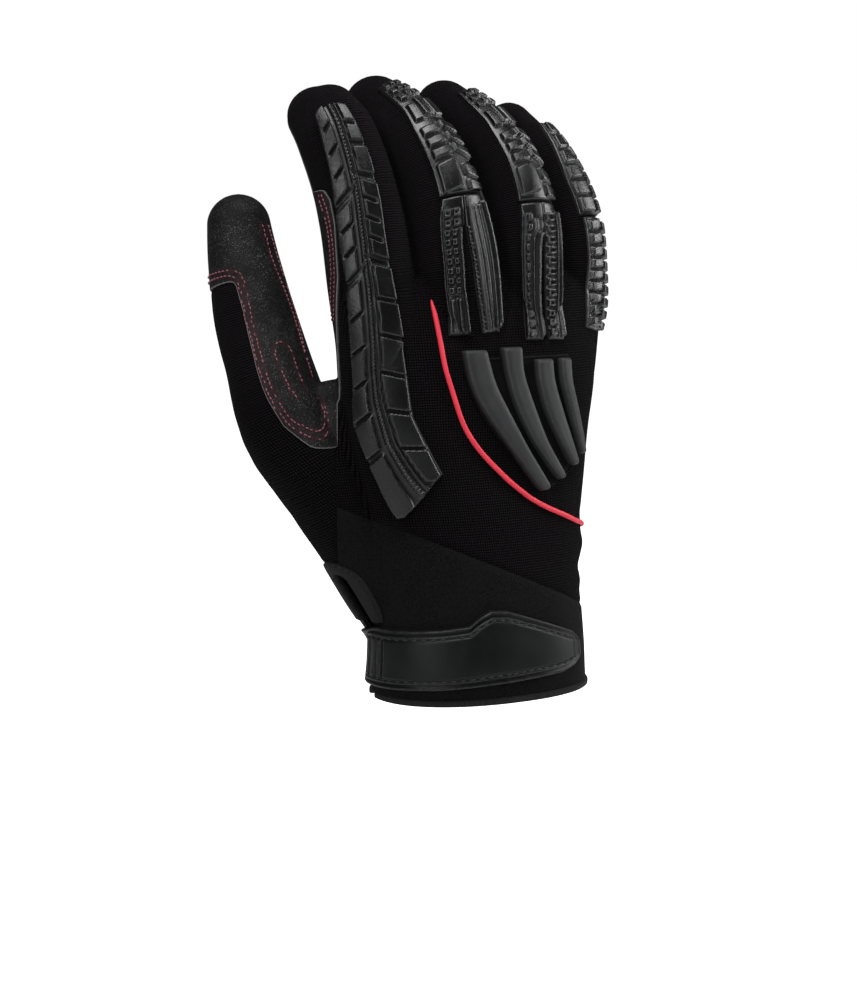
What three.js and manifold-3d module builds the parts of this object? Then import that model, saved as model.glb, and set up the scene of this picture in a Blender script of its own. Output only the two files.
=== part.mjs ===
// A tactical glove for the right hand, worn with half-curled fingers. Millimetres.
// +Z runs from the wrist to the fingertips, -Y faces the back of the hand, -X the thumb.
// The origin is the middle of the wrist, level with the strap.
import * as THREE from "three";
import { mergeVertices } from "three/addons/utils/BufferGeometryUtils.js";
import Module from "manifold-3d";

const wasm = await Module();
wasm.setup();

// Driving dimensions
const wall = 2; // knit and leather
const gap = 0.3; // clearance between neighbouring pieces
const fingerSides = 10; // facets round a finger
const liningSides = 8; // facets round its hollow
const handSides = 18; // facets round the hand and the wrist
const fingerRoot = 135; // height where the fingers part from the hand
const curlStart = 130; // height above which the fingers take more sections
const thumbCurl = 30; // and above which the thumb does
const crotchTop = 103; // height above which the thumb stands clear of the hand
const sideSeam = 8; // how far to the palm side the side seam lies
const domeTurns = [30, 60]; // degrees up a fingertip's dome where it takes a section
const wedgeStep = 18; // distance between the sections of a seam along a finger
const wedgeArcs = 6; // facets of that seam's wedge round the finger
const wedgeReach = 1.9; // how far the wedge goes out, in finger radii

const sheet = 1.5; // height of a guard's base sheet over the cloth
const tread = 3.2; // height of a guard's blocks
const capHeight = 2.8; // height of the cap that joins a guard's legs
const blockInset = 0.8; // from a guard's edge to its blocks
const blockGap = 1.6; // between two blocks
const chevronRise = 3; // how much further along a slanting block its inner edge lies
const chevronHalf = 1.2; // how far slanting blocks cross the middle of their guard
const ribFoot = 2.1; // height of a knuckle rib's edges
const clawHeight = 4; // height of its crown
const sunk = -0.8; // where a slab starts before the glove's own form is cut from it

const pipingRadius = 1.2; // half width of the red piping
const pipingHeight = 0.8; // height of its middle over the cloth
const pipingSides = 6; // its facets
const hemHeight = 2.6; // depth of the bound lower edge of the cuff
const hemBulge = 0.7; // how far that edge stands out on both sides of the cloth

const strapSteps = 18; // facets along the strap
const strapHeight = 2.3; // top of the strap over the cloth
const strapEdge = 2.2; // width of its rolled edge
const panelHeight = 3.6; // top of the rubber panel on the strap
const panelStart = -104; // turn where that panel starts
const panelEnd = 34; // turn where it ends

const slitWidth = 6; // slit of the cuff on the thumb side
const slitTop = 31; // height where its arch begins
const slitFoot = -20; // height below the hem where the cut begins
const slitTurn = -103; // turn of its middle
const turnPerMillimetre = 2.2; // turn for each millimetre round the thumb side
const tapeWidth = 4; // tape round the slit
const tapeHeight = 1.3; // thickness of that tape
const tapeFoot = 13.5; // height where the strap covers it

const cuffMiddle = 31.7; // height of the seam between cuff and hand at X = 0
const cuffRise = 0.43; // how far that seam rises for each millimetre towards the thumb
const thumbSeam = new THREE.Vector3(-56, 1.5, 60); // a place on the seam at the thumb's root
const thumbSeamWay = new THREE.Vector3(-0.866, 0.5, 0); // from that seam out to the thumb

const radians = THREE.MathUtils.degToRad;
const up = new THREE.Vector3(0, 0, 1);
const towardsBack = new THREE.Vector3(0, -1, 0);
const towardsPalm = new THREE.Vector3(0, 1, 0);

// Each row of a table becomes an object with the named columns.
function table(columns, ...rows) {
  const names = columns.split(" ");
  return rows.map((row) => Object.fromEntries(names.map((name, i) => [name, row[i]])));
}

// Sections along each finger: its middle, its half sizes, and where its back faces, as degrees
// turned from -Y towards +X.
const fingerColumns = "x y z halfWidth halfThick facing";
const indexRows = table(
  fingerColumns,
  [-29, 9, 50, 13, 13, -20],
  [-34, 6.5, 70, 13, 13, -20],
  [-38, 5, 92, 13, 13, -20],
  [-39.5, 5, 113, 13, 13, -22],
  [-42, 8, 138, 12.5, 12.3, -24],
  [-44.3, 13, 162, 12.2, 11.5, -24],
  [-47.5, 21, 181, 11.5, 10.8, -22],
  [-49.3, 28, 190, 10.2, 9.7, -20],
);
const middleRows = table(
  fingerColumns,
  [-5, 1, 84, 13, 13, -6],
  [-6, 1, 112, 13.2, 13, -8],
  [-7, 4, 140, 13, 12.3, -8],
  [-10, 11, 166, 12.3, 11.6, -8],
  [-14.5, 25, 184.5, 11.8, 11, -8],
  [-18.5, 41, 193.5, 10.4, 9.7, -8],
);
const ringRows = table(
  fingerColumns,
  [21, 4, 82, 12.5, 12.5, 6],
  [21.5, 4, 108, 12.5, 12.5, 4],
  [22.2, 6, 138, 12.2, 11.7, 2],
  [22, 12, 162, 12, 11.2, 2],
  [17, 26, 181, 11.2, 10.5, 2],
  [10, 43, 192, 9.8, 9.2, 2],
);
const littleRows = table(
  fingerColumns,
  [32, 9, 58, 10, 12, 24],
  [38.5, 10, 80, 11, 12, 26],
  [44, 11, 104, 11.3, 11.5, 26],
  [47.8, 13, 130, 10.8, 10.7, 26],
  [47.8, 17, 153, 10.6, 10.2, 26],
  [43.5, 27, 173, 10.1, 9.6, 25],
  [36.8, 41, 185, 9.2, 8.7, 25],
);
const thumbRows = table(
  fingerColumns,
  [-23.5, 10, 15, 16, 16, -75],
  [-40, 13, 40, 15.5, 15, -85],
  [-55, 18, 66, 16.5, 15, -110],
  [-66.5, 27, 96, 16.3, 14, -150],
  [-71, 34, 118, 14.5, 12.5, -170],
  [-72, 40, 138, 12.5, 11.5, -178],
  [-72.5, 43, 152, 11, 10, -182],
);
const crotchRows = table(
  fingerColumns,
  [-30, 9, 30, 16, 14, -30],
  [-38, 11, 55, 20, 13, -32],
  [-46, 13.5, 75, 19, 11, -36],
  [-51, 15.5, 87, 17, 8.5, -38],
  [-52.5, 16, 92, 14, 6, -38],
);

// Sections of the hand from the hem to the finger roots. The squareness is the power of its outline.
const handRows = table(
  "z x y halfWidth halfThick squareness",
  [-11, 1, 0, 41, 28, 2.2],
  [0, 1, 0, 40, 28, 2.2],
  [20, 1, 1, 39.5, 26, 2.2],
  [40, 0, 3, 41.5, 25, 2.3],
  [60, -1, 4, 44.5, 23, 2.5],
  [80, -2, 4, 48, 21, 2.6],
  [98, -0.5, 4.5, 50, 19, 2.6],
  [112, 0, 5.5, 50.5, 16.5, 2.6],
  [124, 1, 7, 50, 13, 2.5],
  [131, 1.5, 8, 48, 9.5, 2.4],
  [134, 2, 8.5, 45, 6, 2.3],
);

// Guards: distance along the finger, and edges to the thumb side (+) and away from it (-) of the
// line along the finger's back.
const guardColumns = "along left right";
const indexGuardRows = table(
  guardColumns,
  [7, 2.4, 0.4],
  [13, 4, -3.2],
  [18.5, 5.6, -9.6],
  [26, 7.4, -9],
  [39, 11, -7],
  [62, 10.2, -10.2],
  [87, 7.8, -11.6],
  [98, 8.3, -11.7],
  [110, 7.8, -12.5],
  [123, 6, -14.3],
  [133, 5, -14.6],
  [142, 2, -12],
);
const middleTipRows = table(
  guardColumns,
  [80, 5.6, -13.6],
  [90, 4.6, -12.8],
  [100, 3.5, -12],
  [111, 1, -10.5],
  [121, -1, -8.5],
);
const ringTipRows = table(
  guardColumns,
  [79, 6, -13],
  [90, 4.3, -12.2],
  [101, 3, -11],
  [112, 1, -10],
  [121, -1, -8],
);
const littleTipRows = table(
  guardColumns,
  [98, 6.2, -8.6],
  [109, 6, -8.6],
  [120, 4, -8],
  [131, 1.6, -6.6],
);
const legColumns = "along outerLeft innerLeft innerRight outerRight";
const middleLegRows = table(
  legColumns,
  [30, 9, 2, -3.3, -12],
  [46, 9.8, 2.8, -1.6, -12.4],
  [60, 9, 1.8, -1, -11.6],
  [68, 7.6, 0.4, -1.6, -11],
);
const ringLegRows = table(
  legColumns,
  [29, 7.4, 2, -3.6, -9.6],
  [46, 8, 1.8, -2.6, -11],
  [60, 7.6, 0.6, -2.4, -11.4],
  [67, 6.6, -0.6, -2.8, -11.6],
);
const middleCapRows = table(guardColumns, [66, 8.2, -11.2], [75, 5.4, -10.6]);
const ringCapRows = table(guardColumns, [65, 7.2, -11.6], [74, 6, -11.2]);
const littleBaseRows = table(
  guardColumns,
  [57, 6.6, -3.4],
  [67, 6.4, -6],
  [81, 4.6, -7.6],
  [94.5, 4.6, -7.6],
);

// Ribs over the knuckles: height, and edges of each rib in X.
const ribColumns = "z left right";
const knuckleRibs = [
  table(ribColumns, [109, -14.2, -4.9], [98, -13, -2.7], [88, -8.4, 1.8], [75, 1, 8.8], [61, 13, 18.4]),
  table(ribColumns, [109.5, 1.3, 10], [100, 1.9, 9.6], [89, 4.6, 12.5], [77, 10.6, 17.3], [64, 22, 26]),
  table(ribColumns, [105, 14.8, 22.2], [96.5, 14.7, 22.6], [85, 17.8, 25.8], [69, 28.4, 33.2]),
  table(ribColumns, [105, 25.3, 30.4], [96.5, 25.1, 30.2], [85, 28.8, 33.4], [72.5, 35.6, 37.8]),
];
const knuckleSheet = table(
  ribColumns,
  [110, -16, 32],
  [98, -15.2, 32],
  [87, -10.6, 35],
  [76, -2.4, 38],
  [67, 5, 38.4],
  [59.5, 12, 22],
);

// Turn round the hand is in degrees from the middle of its back, positive to the little finger.
const pipingRows = table(
  "turn z",
  [-26, 127],
  [-25, 119.5],
  [-24, 111],
  [-23, 102.5],
  [-20, 92.5],
  [-16, 83],
  [-10, 75],
  [-3, 68.5],
  [6, 61.5],
  [18, 55],
  [33, 50],
  [50, 46],
  [75, 43],
  [94, 41.5],
);
const strapRows = table(
  "turn low high",
  [-186, -9.5, 12],
  [-160, -9.5, 12],
  [-130, -9.5, 12],
  [-104, -9.5, 12.2],
  [-86, -9.2, 12.4],
  [-72, -8.8, 12.6],
  [-56, -8.2, 13],
  [-42, -7.8, 13.5],
  [-28, -7, 14.5],
  [-22, -6.7, 17.5],
  [-16, -6.4, 19.5],
  [-7, -6.2, 19],
  [8, -5.6, 15.5],
  [24, -5, 11.5],
  [34, -3.4, 9],
  [41, 0.4, 4.4],
);

// Leather on the fingers: where it starts and ends round the finger, in degrees from its back,
// positive to the thumb side.
const leatherColumns = "along from to";
const indexFrontRows = table(
  leatherColumns,
  [40, 90, 262],
  [84, 60, 262],
  [96, 47, 262],
  [115, 47, 262],
  [117, 98, 262],
  [170, 98, 262],
);
const thumbPatchRows = table(
  leatherColumns,
  [66, 100, 245],
  [70, 95, 258],
  [80, 95, 262],
  [90, 95, 254],
  [106, 95, 238],
  [120, 95, 228],
  [132, 95, 227],
);

// One row between row i and the next, on a Catmull-Rom curve through every column.
function rowBetween(rows, i, t) {
  const before = rows[Math.max(i - 1, 0)];
  const from = rows[i];
  const to = rows[Math.min(i + 1, rows.length - 1)];
  const after = rows[Math.min(i + 2, rows.length - 1)];
  const made = {};
  for (const name in from) {
    const entry = (to[name] - before[name]) / 2;
    const exit = (after[name] - from[name]) / 2;
    const step = to[name] - from[name];
    const square = 3 * step - 2 * entry - exit;
    const cube = entry + exit - 2 * step;
    made[name] = from[name] + t * (entry + t * (square + t * cube));
  }
  return made;
}

// The rows with one more between them wherever they lie above a height.
function refined(rows, from) {
  return rows.flatMap((row, i) => {
    const more = i < rows.length - 1 && row.z >= from;
    return more ? [row, rowBetween(rows, i, 0.5)] : [row];
  });
}

// The row at a value of one column, read off in straight lines between the rows.
function rowAt(rows, column, value) {
  const rising = rows[1][column] > rows[0][column];
  const passed = (row) => (rising ? row[column] > value : row[column] < value);
  let i = rows.findIndex(passed) - 1;
  if (i < 0) i = passed(rows[0]) ? 0 : rows.length - 2;
  const [from, to] = [rows[i], rows[i + 1]];
  const t = THREE.MathUtils.clamp((value - from[column]) / (to[column] - from[column]), 0, 1);
  const made = {};
  for (const name in from) made[name] = from[name] + t * (to[name] - from[name]);
  return made;
}

// A closed surface as a solid, with its faces turned out.
function solidOf(points, faces) {
  let volume = 0;
  for (let i = 0; i < faces.length; i += 3) {
    const [a, b, c] = faces.slice(i, i + 3).map((k) => points[k]);
    volume += a.dot(b.clone().cross(c));
  }
  if (volume < 0) faces.reverse();
  const geometry = new THREE.BufferGeometry().setFromPoints(points).setIndex(faces);
  return solidOfGeometry(geometry);
}

function solidOfGeometry(geometry) {
  geometry.deleteAttribute("normal");
  geometry.deleteAttribute("uv");
  const merged = mergeVertices(geometry, 1e-4);
  return new wasm.Manifold(
    new wasm.Mesh({
      numProp: 3,
      vertProperties: merged.attributes.position.array,
      triVerts: new Uint32Array(merged.index.array),
    }),
  );
}

function geometryOf(solid) {
  const { vertProperties, triVerts } = solid.getMesh();
  return new THREE.BufferGeometry()
    .setAttribute("position", new THREE.BufferAttribute(vertProperties, 3))
    .setIndex(new THREE.BufferAttribute(triVerts, 1));
}

const largest = (solid) => solid.decompose().reduce((a, b) => (a.volume() > b.volume() ? a : b));
const joined = (solids) => solids.reduce((whole, solid) => whole.add(solid));

function middleOf(ring) {
  const sum = ring.reduce((total, point) => total.add(point), new THREE.Vector3());
  return sum.divideScalar(ring.length);
}

// A solid through rings of as many points each, closed by a fan at both ends.
function loft(rings, tip = middleOf(rings.at(-1))) {
  const count = rings[0].length;
  const points = [...rings.flat(), middleOf(rings[0]), tip];
  const foot = points.length - 2;
  const top = points.length - 1;
  const last = (rings.length - 1) * count;
  const faces = [];
  for (let k = 0; k < count; k++) {
    const next = (k + 1) % count;
    for (let i = 0; i < last; i += count) {
      faces.push(i + k, i + next, i + count + next, i + k, i + count + next, i + count + k);
    }
    faces.push(foot, next, k, top, last + k, last + next);
  }
  return solidOf(points, faces);
}

// A closed slab over a grid. place(u, v) gives its under and its upper point, u and v from 0 to 1.
function slab(lengths, widths, place) {
  const points = [];
  for (let i = 0; i <= lengths; i++) {
    for (let k = 0; k <= widths; k++) points.push(...place(i / lengths, k / widths));
  }
  const at = (i, k, upper) => 2 * (i * (widths + 1) + k) + upper;
  const faces = [];
  const quad = (a, b, c, d) => faces.push(a, b, c, a, c, d);
  for (let i = 0; i < lengths; i++) {
    for (let k = 0; k < widths; k++) {
      quad(at(i, k, 1), at(i + 1, k, 1), at(i + 1, k + 1, 1), at(i, k + 1, 1));
      quad(at(i, k, 0), at(i, k + 1, 0), at(i + 1, k + 1, 0), at(i + 1, k, 0));
    }
    quad(at(i, 0, 0), at(i + 1, 0, 0), at(i + 1, 0, 1), at(i, 0, 1));
    quad(at(i, widths, 1), at(i + 1, widths, 1), at(i + 1, widths, 0), at(i, widths, 0));
  }
  for (let k = 0; k < widths; k++) {
    quad(at(0, k, 1), at(0, k + 1, 1), at(0, k + 1, 0), at(0, k, 0));
    quad(at(lengths, k, 0), at(lengths, k + 1, 0), at(lengths, k + 1, 1), at(lengths, k, 1));
  }
  return solidOf(points, faces);
}

// Stations of a finger: its middle, the ways along, to its back and to its side, and the length so far.
function fingerOf(rows, from = curlStart) {
  const stations = refined(rows, from).map((row) => ({
    ...row,
    middle: new THREE.Vector3(row.x, row.y, row.z),
  }));
  stations.forEach((station, i) => {
    const before = stations[Math.max(i - 1, 0)];
    const after = stations[Math.min(i + 1, stations.length - 1)];
    const facing = radians(station.facing);
    station.way = after.middle.clone().sub(before.middle).normalize();
    station.back = new THREE.Vector3(Math.sin(facing), -Math.cos(facing), 0);
    station.back.addScaledVector(station.way, -station.back.dot(station.way)).normalize();
    station.side = station.back.clone().cross(station.way);
    station.along = i ? before.along + station.middle.distanceTo(before.middle) : 0;
  });
  return stations;
}

const outAt = (station, angle) =>
  new THREE.Vector3()
    .addScaledVector(station.back, Math.cos(angle))
    .addScaledVector(station.side, Math.sin(angle));

function fingerRing(station, extra, sides, shrink = 1, ahead = 0) {
  const ring = [];
  for (let k = 0; k < sides; k++) {
    const angle = radians(station.facing) - (2 * Math.PI * k) / sides;
    const point = station.middle.clone().addScaledVector(station.way, ahead);
    point.addScaledVector(station.back, Math.cos(angle) * (station.halfThick + extra) * shrink);
    point.addScaledVector(station.side, Math.sin(angle) * (station.halfWidth + extra) * shrink);
    ring.push(point);
  }
  return ring;
}

// A finger with a domed end, grown outwards by extra.
function fingerSolid(finger, extra, dome) {
  const end = finger.at(-1);
  const height = dome + extra;
  const sides = extra < 0 ? liningSides : fingerSides;
  const rings = finger.map((station) => fingerRing(station, extra, sides));
  for (const turn of domeTurns) {
    const ahead = height * Math.sin(radians(turn));
    rings.push(fingerRing(end, extra, sides, Math.cos(radians(turn)), ahead));
  }
  return loft(rings, end.middle.clone().addScaledVector(end.way, height));
}

function handRing(row, extra) {
  const ring = [];
  for (let k = 0; k < handSides; k++) {
    const angle = (2 * Math.PI * k) / handSides;
    const power = 2 / row.squareness;
    const across = Math.sign(Math.sin(angle)) * Math.abs(Math.sin(angle)) ** power;
    const deep = -Math.sign(Math.cos(angle)) * Math.abs(Math.cos(angle)) ** power;
    const x = row.x + (row.halfWidth + extra) * across;
    ring.push(new THREE.Vector3(x, row.y + (row.halfThick + extra) * deep, row.z));
  }
  return ring;
}

// The hand, grown outwards by extra. Its lower end is moved down by the given length.
function handSolid(extra, lower) {
  const rows = handRows.map((row) => ({ ...row }));
  rows[0].z -= lower;
  rows.at(-1).z += extra;
  return loft(rows.map((row) => handRing(row, extra)));
}

const fingers = {
  index: fingerOf(indexRows),
  middle: fingerOf(middleRows),
  ring: fingerOf(ringRows),
  little: fingerOf(littleRows),
};
const thumb = fingerOf(thumbRows, thumbCurl);
const crotch = fingerOf(crotchRows);

// The whole glove as one closed form, grown outwards by extra.
function gloveForm(extra, lower) {
  const tips = [...Object.values(fingers), thumb].map((finger) => {
    const end = finger.at(-1);
    return fingerSolid(finger, extra, (end.halfWidth + end.halfThick) / 2);
  });
  const web = fingerSolid(crotch, extra, crotch.at(-1).halfThick);
  return joined([handSolid(extra, lower), ...tips, web]);
}

const outside = gloveForm(0, 0);
const bed = gloveForm(gap, gap); // what lies on the glove keeps clear of this form
const shell = outside.subtract(gloveForm(-wall, 3 * wall));

// A place on the glove's outside, met by going out from a point inside it.
const bothSides = new THREE.MeshBasicMaterial({ side: THREE.DoubleSide });
const outsideMesh = new THREE.Mesh(geometryOf(outside), bothSides);
function metFrom(point, out) {
  const hit = new THREE.Raycaster(point, out).intersectObject(outsideMesh)[0];
  return { point: hit.point, out };
}

function stationAt(finger, along) {
  let i = finger.findIndex((station) => station.along > along) - 1;
  if (i < 0) i = along <= 0 ? 0 : finger.length - 2;
  const [from, to] = [finger[i], finger[i + 1]];
  const t = (along - from.along) / (to.along - from.along);
  const blend = (name) => from[name].clone().lerp(to[name], t);
  const radius = (row) => (row.halfWidth + row.halfThick) / 2;
  return {
    middle: blend("middle"),
    back: blend("back").normalize(),
    side: blend("side").normalize(),
    way: blend("way").normalize(),
    radius: radius(from) + t * (radius(to) - radius(from)),
  };
}

// A place on a finger, so far along it and so far across from the line on its back.
function onFinger(finger, along, across) {
  const station = stationAt(finger, along);
  return metFrom(station.middle, outAt(station, across / station.radius).normalize());
}

// A place on the back of the hand.
function onBack(x, z) {
  const row = rowAt(handRows, "z", z);
  return metFrom(new THREE.Vector3(x, row.y, z), towardsBack);
}

// A place round the hand, at a turn from the middle of its back.
function roundHand(turn, z) {
  const row = rowAt(handRows, "z", z);
  const angle = radians(turn);
  const out = new THREE.Vector3(row.halfWidth * Math.sin(angle), -row.halfThick * Math.cos(angle), 0);
  return metFrom(new THREE.Vector3(row.x, row.y, z), out.normalize());
}

const lifted = (place, height) => place.point.clone().addScaledVector(place.out, height);

// A patch on a finger between two heights.
function patch(finger, rows, lengths, widths, under, upper) {
  const first = rows[0].along;
  const last = rows.at(-1).along;
  return slab(lengths, widths, (u, v) => {
    const row = rowAt(rows, "along", first + u * (last - first));
    const place = onFinger(finger, row.along, row.left + v * (row.right - row.left));
    return [lifted(place, under), lifted(place, upper)];
  });
}

// One raised block on a finger: its outer edge runs from low to high, its inner edge lies rise further.
function block(finger, low, high, outer, inner, rise) {
  return slab(1, 1, (u, v) => {
    const along = low + u * (high - low) + v * rise;
    const place = onFinger(finger, along, outer + v * (inner - outer));
    return [lifted(place, sheet / 2), lifted(place, tread)];
  });
}

// Two columns of slanting blocks beside the middle of a guard.
function chevronBlocks(finger, rows, { from, to, count }) {
  const blocks = [];
  const pitch = (to - from) / count;
  for (let k = 0; k < count; k++) {
    const low = from + k * pitch;
    const high = low + pitch - blockGap;
    const row = rowAt(rows, "along", low + pitch / 2);
    const middle = (row.left + row.right) / 2;
    const [left, right] = [row.left - blockInset, row.right + blockInset];
    blocks.push(block(finger, low, high, left, middle + chevronHalf, chevronRise));
    blocks.push(block(finger, low, high, right, middle - chevronHalf, chevronRise));
  }
  return blocks;
}

// Straight columns of blocks across a guard.
function columnBlocks(finger, rows, { from, to, count, columns }) {
  const blocks = [];
  const pitch = (to - from) / count;
  for (let k = 0; k < count; k++) {
    const low = from + k * pitch;
    const row = rowAt(rows, "along", low + pitch / 2);
    const width = (row.left - row.right - 2 * blockInset + blockGap) / columns;
    for (let c = 0; c < columns; c++) {
      const left = row.left - blockInset - c * width;
      blocks.push(block(finger, low, low + pitch - blockGap, left, left - width + blockGap, 0));
    }
  }
  return blocks;
}

const seated = (solids) => joined(solids).subtract(bed);

function indexGuard() {
  const finger = fingers.index;
  const sections = table("from to count", [22, 84, 5], [87, 107, 2], [109, 140, 3]);
  return seated([
    patch(finger, indexGuardRows, 8, 2, sunk, sheet),
    ...sections.flatMap((section) => chevronBlocks(finger, indexGuardRows, section)),
  ]);
}

// A guard over a fingertip, with two columns of blocks and a crease between them.
function tipGuard(finger, rows, crease) {
  const low = { from: rows[0].along + 1, to: crease, count: 3, columns: 2 };
  const high = { from: crease + blockGap, to: rows.at(-1).along, count: 2, columns: 2 };
  return seated([
    patch(finger, rows, 4, 2, sunk, sheet),
    ...columnBlocks(finger, rows, low),
    ...columnBlocks(finger, rows, high),
  ]);
}

// A guard with two legs under one cap, split over the knuckle.
function leggedGuard(finger, rows, cap) {
  const left = rows.map((row) => ({ along: row.along, left: row.outerLeft, right: row.innerLeft }));
  const right = rows.map((row) => ({ along: row.along, left: row.innerRight, right: row.outerRight }));
  const run = { from: rows[0].along + 1, to: rows.at(-1).along - 1, count: 4, columns: 1 };
  return seated([
    patch(finger, left, 4, 1, sunk, sheet),
    patch(finger, right, 4, 1, sunk, sheet),
    patch(finger, cap, 1, 2, sunk, capHeight),
    ...columnBlocks(finger, left, run),
    ...columnBlocks(finger, right, run),
  ]);
}

function littleBaseGuard() {
  const rows = littleBaseRows;
  const run = { from: rows[0].along + 1, to: rows.at(-1).along, count: 6, columns: 1 };
  return seated([
    patch(fingers.little, rows, 4, 2, sunk, sheet),
    ...columnBlocks(fingers.little, rows, run),
  ]);
}

// A strip on the back of the hand, higher along its middle when it is crowned.
function backStrip(rows, lengths, widths, under, low, high) {
  const first = rows[0].z;
  const last = rows.at(-1).z;
  return slab(lengths, widths, (u, v) => {
    const row = rowAt(rows, "z", first + u * (last - first));
    const place = onBack(row.left + v * (row.right - row.left), row.z);
    return [lifted(place, under), lifted(place, low + (high - low) * Math.sin(Math.PI * v))];
  });
}

function knuckleGuard() {
  const ribs = knuckleRibs.map((rows) => backStrip(rows, 5, 3, sunk, ribFoot, clawHeight));
  return seated([backStrip(knuckleSheet, 5, 4, sunk, sheet, sheet), ...ribs]);
}

// The red piping: a round cord half let into the cloth.
function redPiping() {
  const places = pipingRows.map((row) => roundHand(row.turn, row.z));
  const rings = places.map((place, i) => {
    const before = places[Math.max(i - 1, 0)].point;
    const after = places[Math.min(i + 1, places.length - 1)].point;
    const way = after.clone().sub(before).normalize();
    const side = way.clone().cross(place.out).normalize();
    const rise = side.clone().cross(way);
    const radius = i ? pipingRadius : pipingRadius / 2;
    return Array.from({ length: pipingSides }, (_, k) => {
      const angle = (2 * Math.PI * k) / pipingSides;
      const point = lifted(place, pipingHeight);
      point.addScaledVector(side, radius * Math.cos(angle));
      return point.addScaledVector(rise, radius * Math.sin(angle));
    });
  });
  return loft(rings).subtract(bed);
}

// A band round the wrist between two heights over the cuff, drawn in from its outline by inset.
function band(rows, inset, lengths, widths, under, upper) {
  const first = rows[0].turn;
  const last = rows.at(-1).turn;
  return slab(lengths, widths, (u, v) => {
    const row = rowAt(rows, "turn", first + u * (last - first));
    const low = row.low + inset;
    const high = row.high - inset;
    const place = roundHand(row.turn, low + v * Math.max(high - low, 0.4));
    return [lifted(place, under), lifted(place, upper)];
  });
}

const wristStrap = (upper) => band(strapRows, 0, strapSteps, 2, sunk, upper).subtract(bed);

// The moulded rubber panel lies on the strap, inside its rolled edge.
function strapPanel() {
  const rows = strapRows.filter((row) => row.turn >= panelStart && row.turn <= panelEnd);
  const panel = band(rows, strapEdge, 12, 1, strapHeight / 2, panelHeight);
  return largest(panel.subtract(wristStrap(strapHeight + gap)));
}

// Half of space, on the side that the way points away from.
function halfSpace(point, way) {
  const size = 600;
  const box = new THREE.BoxGeometry(size, size, size).translate(0, 0, -size / 2);
  box.applyQuaternion(new THREE.Quaternion().setFromUnitVectors(up, way));
  return solidOfGeometry(box.translate(point.x, point.y, point.z));
}

// The two parts of a solid behind and ahead of a plane, with the gap between them.
function split(solid, point, way) {
  const moved = (distance) => halfSpace(point.clone().addScaledVector(way, distance), way);
  return { behind: solid.intersect(moved(-gap / 2)), ahead: solid.subtract(moved(gap / 2)) };
}

// A wedge along a finger, from one angle round it to another at each distance along it.
function wedge(finger, rows, margin) {
  const first = rows[0].along;
  const length = rows.at(-1).along - first;
  const steps = Math.ceil(length / wedgeStep);
  const rings = Array.from({ length: steps + 1 }, (_, i) => {
    const row = rowAt(rows, "along", first + (i / steps) * length);
    const station = stationAt(finger, row.along);
    const slack = margin / station.radius;
    const from = radians(row.from) - slack;
    const to = radians(row.to) + slack;
    const ring = [station.middle.clone().addScaledVector(station.back, margin)];
    for (let k = 0; k <= wedgeArcs; k++) {
      const out = outAt(station, from + ((to - from) * k) / wedgeArcs);
      ring.push(station.middle.clone().addScaledVector(out, station.radius * wedgeReach));
    }
    return ring;
  });
  return loft(rings);
}

// The part of a finger inside a wedge, or past its end when the whole tip is meant, and the rest.
function wedged(solid, finger, rows, wholeTip) {
  const end = stationAt(finger, rows.at(-1).along - 2);
  const zone = (margin) => {
    const sector = wedge(finger, rows, margin);
    const start = end.middle.clone().addScaledVector(end.way, -margin);
    return wholeTip ? sector.add(halfSpace(start, end.way.clone().negate())) : sector;
  };
  return {
    front: largest(solid.intersect(zone(-gap / 2))),
    back: largest(solid.subtract(zone(gap / 2))),
  };
}

// The slit of the cuff and its tape: an arch on the thumb side, between two heights over the cloth.
// Below the hem, where no cloth is met, the arch goes straight down.
function slitArch(halfWidth, under, upper) {
  const hem = handRows[0].z + gap;
  return slab(8, 8, (u, v) => {
    const angle = Math.PI * v;
    const across = halfWidth * Math.cos(angle);
    const top = slitTop + halfWidth * Math.sin(angle);
    const z = slitFoot + u * (top - slitFoot);
    const place = roundHand(slitTurn + across * turnPerMillimetre, Math.max(z, hem));
    place.point.z = z;
    return [lifted(place, under), lifted(place, upper)];
  });
}

// The bound lower edge of the cuff.
function hemBinding(slit) {
  const top = handRows[0].z - gap;
  const tube = (extra, low, high) =>
    loft([low, high].map((z) => handRing({ ...handRows[0], z }, extra)));
  const outer = tube(hemBulge, top - hemHeight, top);
  return outer.subtract(tube(-wall - hemBulge, top - 2 * hemHeight, top + hemHeight)).subtract(slit);
}

// Cuff: all of the cloth below a seam that rises to the thumb.
const cuffSeamWay = new THREE.Vector3(cuffRise, 0, 1).normalize();
const atCuff = split(shell, new THREE.Vector3(0, 0, cuffMiddle), cuffSeamWay);
const slit = slitArch(slitWidth / 2, -3 * wall, 3 * wall);
const atSide = (solid) => split(solid, new THREE.Vector3(0, sideSeam, 0), towardsPalm);
const cuff = atSide(atCuff.behind.subtract(slit));

// Thumb: what lies beyond the seam at its root, all the way to its tip.
function thumbZone(margin) {
  const seam = thumbSeam.clone().addScaledVector(thumbSeamWay, -margin);
  const own = fingerSolid(thumb, wall, thumb.at(-1).halfThick);
  const low = halfSpace(new THREE.Vector3(0, 0, crotchTop), up);
  const beyond = halfSpace(seam, thumbSeamWay.clone().negate());
  return own.add(low).intersect(beyond);
}
const thumbCloth = wedged(atCuff.ahead.intersect(thumbZone(-gap / 2)), thumb, thumbPatchRows, true);
const handCloth = atCuff.ahead.subtract(thumbZone(gap / 2));

// Fingers: each part above the roots, from the thumb side to the other.
const atRoots = split(handCloth, new THREE.Vector3(0, 0, fingerRoot), up);
const hand = atSide(atRoots.behind);
const leftOf = (solid) => solid.boundingBox().min[0];
const fingerCloth = atRoots.ahead.decompose().sort((a, b) => leftOf(a) - leftOf(b));

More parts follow.
